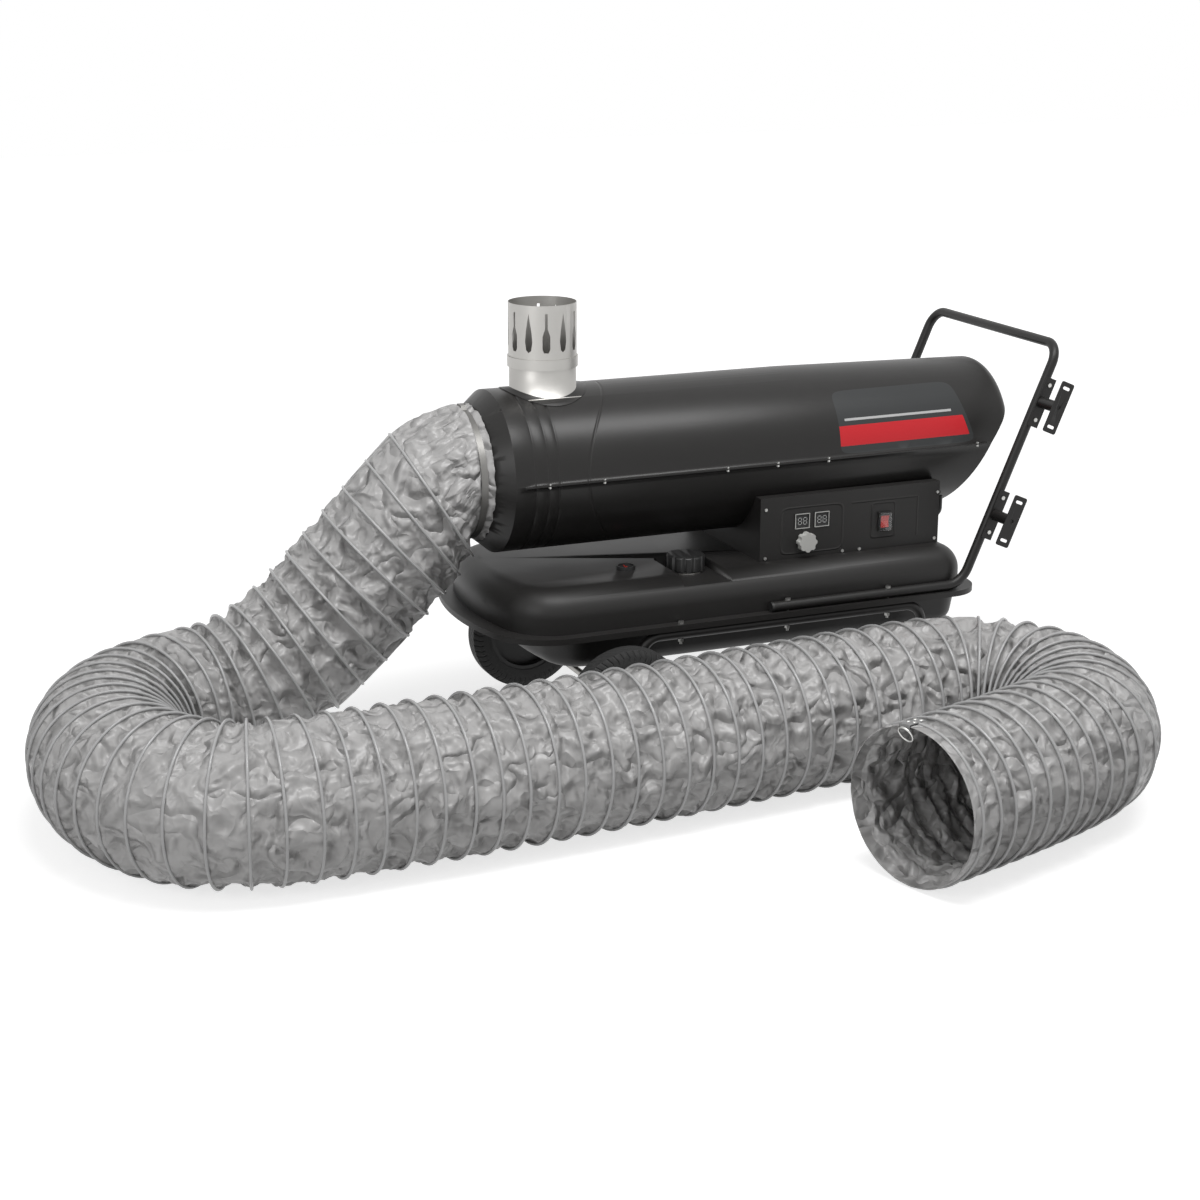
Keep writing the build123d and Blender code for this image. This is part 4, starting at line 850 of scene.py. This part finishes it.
def cloth_point(place, angle):
    """A point of the cloth, counted in rings along and radians round."""
    k = min(int(place), RING_COUNT - 1)
    f = place - k
    a, b = rings[k].point(angle, CLOTH_R), rings[k + 1].point(angle, CLOTH_R)
    outward = (rings[k].point(angle, 1.0) - rings[k].centre).lerp(
        rings[k + 1].point(angle, 1.0) - rings[k + 1].centre, f).normalized()
    gap = (b - a).length
    slack = math.sqrt(max(0.0, CLOTH_WIDTH ** 2 - gap ** 2)) / 2
    arch = max(math.sin(math.pi * f), 0.0)
    way = share(k) * duct_line.length + f * mm(60.0)
    loose = 0.62 + 0.22 * noise.noise(Vector((math.cos(angle) * 2.1, math.sin(angle) * 2.1,
                                              place * 0.9)))
    sag = min(slack * loose, SAG_MOST) * arch ** 0.6
    edge = abs(f - round(f))
    gathers = ridge(Vector((angle * 1.9, k * 3.7 + round(f) * 1.9, edge * 1.5)), 5.2, 0.4)
    near_wire = math.exp(-((edge - GATHER_AT) / GATHER_WIDE) ** 2)
    fold = (crumple(angle, way) * FOLD_DEEP * min(arch * 1.5, 1.0) ** 0.8
            + gathers * near_wire * GATHER_DEEP)
    spot = a.lerp(b, f) + outward * (min(fold - sag, BULGE_MOST) if arch > 0 else 0.0)
    spot.z = max(spot.z, OFF_FLOOR)
    return spot


print("crumple at three places", [round(crumple(1.0, w), 2) for w in (0.1, 0.2, 0.3)])

# %% [markdown]
# One grid for the whole duct would have more faces than one piece should, so the cloth is made in
# six lengths that meet at a wire, where no joint shows. Each is a sheet, and a modifier gives it
# its thickness.

# %% Six lengths of cloth
LENGTHS = 6
CLOTH_THICK = mm(0.7)


def wrapped_grid(form, rows, around, spot):
    """A grid wrapped into a tube; spot gives each point from its row and its turn."""
    made = bmesh.ops.create_grid(form, x_segments=rows, y_segments=around, size=0.5,
                                 calc_uvs=True)["verts"]
    for v in made:
        row, turn = round((v.co.x + 0.5) * rows), round((v.co.y + 0.5) * around) % around
        v.co = spot(row / rows, turn / around * 2 * math.pi)
    bmesh.ops.remove_doubles(form, verts=form.verts, dist=1e-6)
    bmesh.ops.dissolve_degenerate(form, dist=1e-7, edges=form.edges)
    bmesh.ops.recalc_face_normals(form, faces=form.faces)


def walled(piece, thickness, offset=-1.0):
    """Gives a sheet its thickness, inward unless the offset says otherwise."""
    wall = piece.modifiers.new("thickness", "SOLIDIFY")
    wall.thickness = thickness
    wall.offset = offset
    return piece


lengths = []
for number in range(LENGTHS):
    first, last = (round(k * RING_COUNT / LENGTHS) for k in (number, number + 1))
    form = bmesh.new()
    form.loops.layers.uv.new("cloth")
    wrapped_grid(form, (last - first) * ROWS, AROUND,
                 lambda f, a: cloth_point(first + f * (last - first), a))
    sheet = into_scene("duct_fabric_%d" % (number + 1), form, duct_fabric, "heater",
                       ("duct_hose",), 75.0)
    lengths.append(walled(sheet, CLOTH_THICK))
print("cloth faces", sum(len(piece.data.polygons) for piece in lengths))

# %% [markdown]
# ## Gathered cuff
#
# The cuff is the duct's own end, pulled over the spigot and gathered under a clamp. It is wider
# than the spigot, so the extra cloth stands in pleats, which fan out toward the first ring and
# flare at the free edge. Stations along it are joined by a curve through them at every angle.

# %% Cuff of the duct
CUFF_PLACES = ((-36.6, 146.5), (-42, 143.5), (-49, 140.6), (-57, 140.2), (-67, 140.6),
               (-78, 145.5))            # along the casing, radius
CUFF_PLEAT = (5.5, 2.6, 0.2, 0.1, 0.8, 5.5, 0.0)
CUFF_AXIS_X, CUFF_RUN, CUFF_DROP = -60, 60, 38
SWELL, CUFF_CRUMPLE = 9.5, 3.0


def cuff_station(x, radius):
    """A round of points about the casing's axis, as a function of the angle."""
    return lambda angle: at(x, math.cos(angle) * radius, CASING_Z + math.sin(angle) * radius)


CUFF = [cuff_station(x, radius) for x, radius in CUFF_PLACES]
CUFF.append(lambda angle: rings[0].point(angle, CLOTH_R))


def curve_through(points, t):
    """A smooth curve through evenly counted points."""
    k = min(int(t), len(points) - 2)
    f = t - k
    p0, p1 = points[max(k - 1, 0)], points[k]
    p2, p3 = points[k + 1], points[min(k + 2, len(points) - 1)]
    return (p1 * 2 + (p2 - p0) * f + (p0 * 2 - p1 * 5 + p2 * 4 - p3) * f ** 2
            + (p1 * 3 - p0 - p2 * 3 + p3) * f ** 3) * 0.5


def cuff_point(part, angle):
    """A point of the cuff, from its free edge to the first ring."""
    t = part * (len(CUFF) - 1)
    spot = curve_through([station(angle) for station in CUFF], t)
    k = min(int(t), len(CUFF) - 2)
    f = t - k
    height = CUFF_PLEAT[k] * (1 - f) + CUFF_PLEAT[k + 1] * f
    last = max(t - (len(CUFF) - 2), 0.0)
    swell = math.sin(math.pi * last) if last > 0 else 0.0
    place = Vector((math.cos(angle), math.sin(angle), 0.25 * last))
    pleat = ridge(place, 4.6, 2.2) * 0.6 + ridge(place, 9.5, 5.1) * 0.4
    axis = at(CUFF_AXIS_X - CUFF_RUN * last, 0, CASING_Z - CUFF_DROP * last)
    lift = (pleat * (height + swell * SWELL)
            + swell * CUFF_CRUMPLE * crumple(angle, 2.0 + last * 0.12))
    return spot + (spot - axis).normalized() * mm(lift)


form = bmesh.new()
wrapped_grid(form, 66, 220, cuff_point)
walled(into_scene("duct_cuff_cloth", form, duct_fabric, "heater",
                  ("duct_cuff",), 75.0), CLOTH_THICK)
print("cuff made")

# %% [markdown]
# ## Hem at the mouth
#
# The open end is folded back over the last wire and tucked inside, so it is a stiff double band
# whose inner part is loose and falls in folds. One grid goes out along the outside, over the edge
# and back along the inside, and the folds grow with the way in.

# %% Hem and the cloth tucked in
HEM_OUT_R, HEM_IN_R = mm(158.8), mm(157.2)
HEM_REACH, TUCKED = mm(23.0), mm(128.0)
HEM_SHARE = 0.22                        # share of the rows that lie outside
HEM_WAVE, TUCK_FOLD = mm(1.4), mm(9.0)


def hem_point(part, angle):
    """A point of the hem, out along the outside and back along the inside."""
    ring = rings[-1]
    place = Vector((math.cos(angle), math.sin(angle), 0.0))
    wave = ridge(place, 3.2, 9.0)
    if part < HEM_SHARE:
        reach = HEM_REACH * part / HEM_SHARE
        radius = HEM_OUT_R + wave * HEM_WAVE * part / HEM_SHARE
    else:
        inward = (part - HEM_SHARE) / (1 - HEM_SHARE)
        reach = HEM_REACH - inward * TUCKED
        deep = min(inward * 3.0, 1.0)
        fallen = mm(9.0 + 9.0 * (1 - wave) * inward)
        folds = crumple(angle * 1.3, 7.0 + inward * 0.11) * deep * TUCK_FOLD
        radius = HEM_IN_R + wave * HEM_WAVE * (1 - deep) - deep * fallen + folds
        radius = min(radius, HEM_IN_R - deep * mm(3.0))
    spot = ring.point(angle, radius) + ring.out * reach
    spot.z = max(spot.z, mm(2.2) if part > HEM_SHARE else mm(1.2))
    return spot


form = bmesh.new()
wrapped_grid(form, 54, AROUND, hem_point)
into_scene("duct_hem", form, duct_fabric, "heater", ("duct_mouth",), 75.0)
print("hem made")

# %% [markdown]
# A strap of the same cloth is riveted over the top of the hem. It holds a wire ring that hangs in
# the mouth, through which a cord pulls the rolled duct together. The strap is a short grid bent
# over the hem, the rivets are flattened spheres and the wire ring is a circle that is spun.

# %% Strap, rivets and ring at the mouth
STRAP_ANGLE, STRAP_HALF = math.radians(82.0), 0.085
STRAP_LONG, STRAP_OUTER, STRAP_OVER = mm(92.0), mm(46.0), mm(54.0)
STRAP_EDGE, STRAP_BEND = mm(25.5), mm(8.0)
STRAP_R, STRAP_IN_R, STRAP_THICK = mm(162.6), mm(152.6), mm(1.6)
RIVET_R, RIVET_FLAT, RIVET_SEAT = mm(4.2), 0.42, mm(163.6)
LOOP_R, LOOP_WIRE, LOOP_TURN = mm(17.0), mm(2.1), 0.5


def on_hem(turn, way, radius):
    """A point by the last ring, counted from the middle of the strap."""
    return rings[-1].point(STRAP_ANGLE + turn, radius) + rings[-1].out * way


def strap_point(row, side):
    """Along the strap from its end on the outside, over the edge, to its end inside."""
    run = row * STRAP_LONG
    if run < STRAP_OUTER:
        way, radius = STRAP_EDGE - STRAP_OUTER + run, STRAP_R
    elif run < STRAP_OVER:
        bend = (run - STRAP_OUTER) / STRAP_BEND
        way = STRAP_EDGE + mm(1.5) * math.sin(math.pi * bend)
        radius = STRAP_R - bend * (STRAP_R - STRAP_IN_R)
    else:
        way, radius = STRAP_EDGE - (run - STRAP_OVER), STRAP_IN_R
    return on_hem(side * STRAP_HALF, way, radius)


form = bmesh.new()
for v in bmesh.ops.create_grid(form, x_segments=30, y_segments=6, size=0.5)["verts"]:
    v.co = strap_point(v.co.x + 0.5, v.co.y * 2)
bmesh.ops.recalc_face_normals(form, faces=form.faces)
walled(into_scene("mouth_strap", form, webbing, "heater", (), 60.0),
       STRAP_THICK, offset=0.0)

form = bmesh.new()
for side in (-0.55, 0.55):
    for way in (-9.0, 9.0):
        rivet = bmesh.ops.create_uvsphere(form, u_segments=20, v_segments=10, radius=RIVET_R)
        middle = on_hem(side * STRAP_HALF, mm(way - 2.0), RIVET_SEAT)
        bmesh.ops.scale(form, verts=rivet["verts"], vec=(1, 1, RIVET_FLAT))
        bmesh.ops.rotate(form, verts=rivet["verts"], cent=(0, 0, 0),
                         matrix=rings[-1].top.to_track_quat("Z", "Y").to_matrix())
        bmesh.ops.translate(form, verts=rivet["verts"], vec=middle)
into_scene("mouth_rivets", form, zinc, "heater", (), 60.0)

hung = wire_ring(LOOP_R, LOOP_WIRE, 48, 10)
hung.transform(Matrix.Translation(on_hem(0.0, mm(24.0), mm(143.0)))
               @ rings[-1].out.to_track_quat("Z", "Y").to_matrix().to_4x4()
               @ Matrix.Rotation(LOOP_TURN, 4, "X"))
form = bmesh.new()
form.from_mesh(hung)
bpy.data.meshes.remove(hung)
into_scene("mouth_ring", form, zinc, "heater", (), 80.0)
print("strap, rivets and ring made")

# %% [markdown]
# ## Displays and switch
#
# The two displays are small boxes with a dark window in a paler frame. On each window stand two
# figures of seven bars, all lit. A bar is a thin box whose short ends are bevelled to points. A
# frame is a box whose front and back are inset and bridged, which leaves the opening.

# %% Bars and frames of the displays
BARS = ((0, 1, 0), (0, -1, 0), (0, 0, 0), (-1, 0.5, 1), (1, 0.5, 1), (-1, -0.5, 1),
        (1, -0.5, 1))                       # across, up, upright
FIGURE_HALF, FIGURE_TALL, FIGURE_APART = 4.2, 7.6, 6.6
WINDOWS_X, WINDOWS_Z, WINDOW_Y = (681.8, 731.4), 477.2, -192.4
BAR_LONG, BAR_HIGH, BAR_WIDE, BAR_THICK, BAR_Y = 6.2, 5.6, 1.3, 0.3, -192.55
FRAME_SIZE, FRAME_RIM = (36.5, 1.6, 34.5), mm(2.2)
lit_bar = moulded("lit_bar", (0.55, 0.56, 0.55), 0.35, bloom=0.0)


def bar(form, x, z, length, upright):
    """A bar with pointed ends on the front of a display."""
    made = bmesh.ops.create_cube(form, size=1.0)["verts"]
    size = (BAR_WIDE, BAR_THICK, length) if upright else (length, BAR_THICK, BAR_WIDE)
    bmesh.ops.scale(form, verts=made, vec=[mm(v) for v in size])
    ends = dict.fromkeys(e for v in made for e in v.link_edges
                         if abs((e.verts[0].co - e.verts[1].co).y) > mm(0.2))
    bmesh.ops.translate(form, verts=made, vec=at(x, BAR_Y, z))
    bmesh.ops.bevel(form, geom=list(ends), offset=mm(0.6), segments=1, profile=0.5,
                    affect="EDGES", material=-1)


form = bmesh.new()
for window in WINDOWS_X:
    for figure in (-FIGURE_APART, FIGURE_APART):
        for sideways, up, upright in BARS:
            bar(form, window + figure + sideways * FIGURE_HALF, WINDOWS_Z + up * FIGURE_TALL,
                BAR_HIGH if upright else BAR_LONG, upright)
into_scene("display_bars", form, lit_bar, "heater", (), 30.0)

form = bmesh.new()
for window in WINDOWS_X:
    rim = bmesh.ops.create_cube(form, size=1.0)["verts"]
    bmesh.ops.scale(form, verts=rim, vec=[mm(v) for v in FRAME_SIZE])
    bmesh.ops.translate(form, verts=rim, vec=at(window, WINDOW_Y, WINDOWS_Z))
    faces = dict.fromkeys(f for v in rim for f in v.link_faces)
    front = min(faces, key=lambda f: f.calc_center_median().y)
    back = max(faces, key=lambda f: f.calc_center_median().y)
    for face in (front, back):
        bmesh.ops.inset_region(form, faces=[face], thickness=FRAME_RIM)
    bmesh.ops.bridge_loops(form, edges=list(front.edges) + list(back.edges))
    bmesh.ops.delete(form, geom=[front, back], context="FACES")
bmesh.ops.recalc_face_normals(form, faces=form.faces)
into_scene("display_frames", form, grey_plastic, "heater", (), 30.0)
print("displays made")

# %% [markdown]
# The switch has a clear splash cover, a hollow cap of soft plastic. A box is rounded with a bevel
# and cut open at its back, and a modifier gives it its wall. Its finish lets light through.

# %% Clear cover of the switch
COVER_SIZE, COVER_WALL = (31.0, 7.0, 43.0), mm(0.5)
COVER_X, COVER_Y, COVER_Z, COVER_CUT_Y = 893.8, -197.6, 456.0, -194.3
clear_cover = Finish("clear_cover", (0.93, 0.93, 0.93), 0.07, 0.0, Transmission_Weight=1.0,
                     IOR=1.42)
film = clear_cover.grain(60.0, 3.0)
clear_cover.put("Roughness", film * 0.12 + 0.03)
form = bmesh.new()
cap = bmesh.ops.create_cube(form, size=1.0)["verts"]
bmesh.ops.scale(form, verts=cap, vec=[mm(v) for v in COVER_SIZE])
bmesh.ops.translate(form, verts=cap, vec=at(COVER_X, COVER_Y, COVER_Z))
bmesh.ops.bevel(form, geom=form.edges[:], offset=mm(2.4), segments=4, profile=0.5,
                affect="EDGES", material=-1)
bmesh.ops.bisect_plane(form, geom=form.verts[:] + form.edges[:] + form.faces[:], dist=1e-6,
                       plane_co=at(0, COVER_CUT_Y, 0), plane_no=(0, 1, 0), clear_outer=True)
walled(into_scene("switch_cover", form, clear_cover, "heater", (), 40.0),
       COVER_WALL)
print("switch cover made")

# %% [markdown]
# ## Light and floor
#
# The photograph is lit by one big soft light above and in front and a weaker one at the outlet's
# side, with light all round from a white studio. The background is white only to the camera, to
# mirrors and to glass: the light that falls on the heater is set apart from it, so colours come
# out about as they are written.

# %% Studio
def soft_light(name, place, aim, power, width, height):
    """A lamp as a bright rectangle that faces its aim."""
    lamp = bpy.data.lights.new(name, "AREA")
    lamp.shape = "RECTANGLE"
    lamp.size, lamp.size_y = width, height
    lamp.energy = power
    held = placed(name, lamp)
    held.location = place
    held.rotation_euler = (Vector(aim) - Vector(place)).to_track_quat("-Z", "Y").to_euler()


soft_light("key_light", place=(-0.2, -1.7, 3.9), aim=(0, -0.2, 0.5), power=118, width=3.4,
           height=1.2)
soft_light("side_light", place=(-3.6, -2.2, 1.9), aim=(0, -0.3, 0.4), power=24, width=1.4,
           height=1.6)

world = bpy.data.worlds.new("studio")
bpy.context.scene.world = world
sky = Tree(world)
WHITE = (1, 1, 1, 1)


def seen_directly(tree):
    """1 where a camera, glossy or transmission ray looks, 0 where light is gathered."""
    camera_ray = tree.node("LightPath", output="Is Camera Ray")
    found = camera_ray
    for kind in ("Is Glossy Ray", "Is Transmission Ray"):
        found = tree.node("Math", {"operation": "MAXIMUM"},
                          {0: found, 1: camera_ray.beside(kind)})
    return found


ambient = sky.nodes["Background"]
sky.feed(ambient.inputs["Color"], WHITE)
sky.feed(ambient.inputs["Strength"], 0.24)
white = sky.node("Background", None, {"Color": WHITE, "Strength": 1.0})
choice = sky.node("MixShader", None, {
    "Fac": seen_directly(sky), 1: Value(sky, ambient.outputs[0]), 2: white})
sky.feed(sky.nodes["World Output"].inputs["Surface"], choice)
print("lights and world ready")

# %% [markdown]
# The floor is a plain pale sheet. Seen directly it glows, and further out it reaches the white of
# the background, so its edge never shows. The glow is only for the camera, mirrors and glass. The
# sheet's own colour is greyer, so the heater's shadow is still seen on it.

# %% Floor that is white to the eye and still takes a shadow
FLOOR_HALF, FLOOR_DROP = 14.0, 0.0005
GLOW = {1: 1.6, 2: 5.0, 3: 0.72, 4: 1.0}        # from near to far in metres, from dim to white
form = bmesh.new()
bmesh.ops.create_grid(form, x_segments=1, y_segments=1, size=FLOOR_HALF,
                      matrix=Matrix.Translation((0, 0, -FLOOR_DROP)))
floor = placed("floor", meshed("floor", form))
pale = Finish("floor_white", (0.58, 0.58, 0.58), 0.9)
apart = pale.node("VectorMath", {"operation": "LENGTH"}, {0: pale.place}, 1)
glow = pale.node("MapRange", None, {"Value": apart, **GLOW})
pale.put("Emission Color", WHITE)
pale.put("Emission Strength", glow * seen_directly(pale))
floor.data.materials.append(pale.material)
print("floor ready")
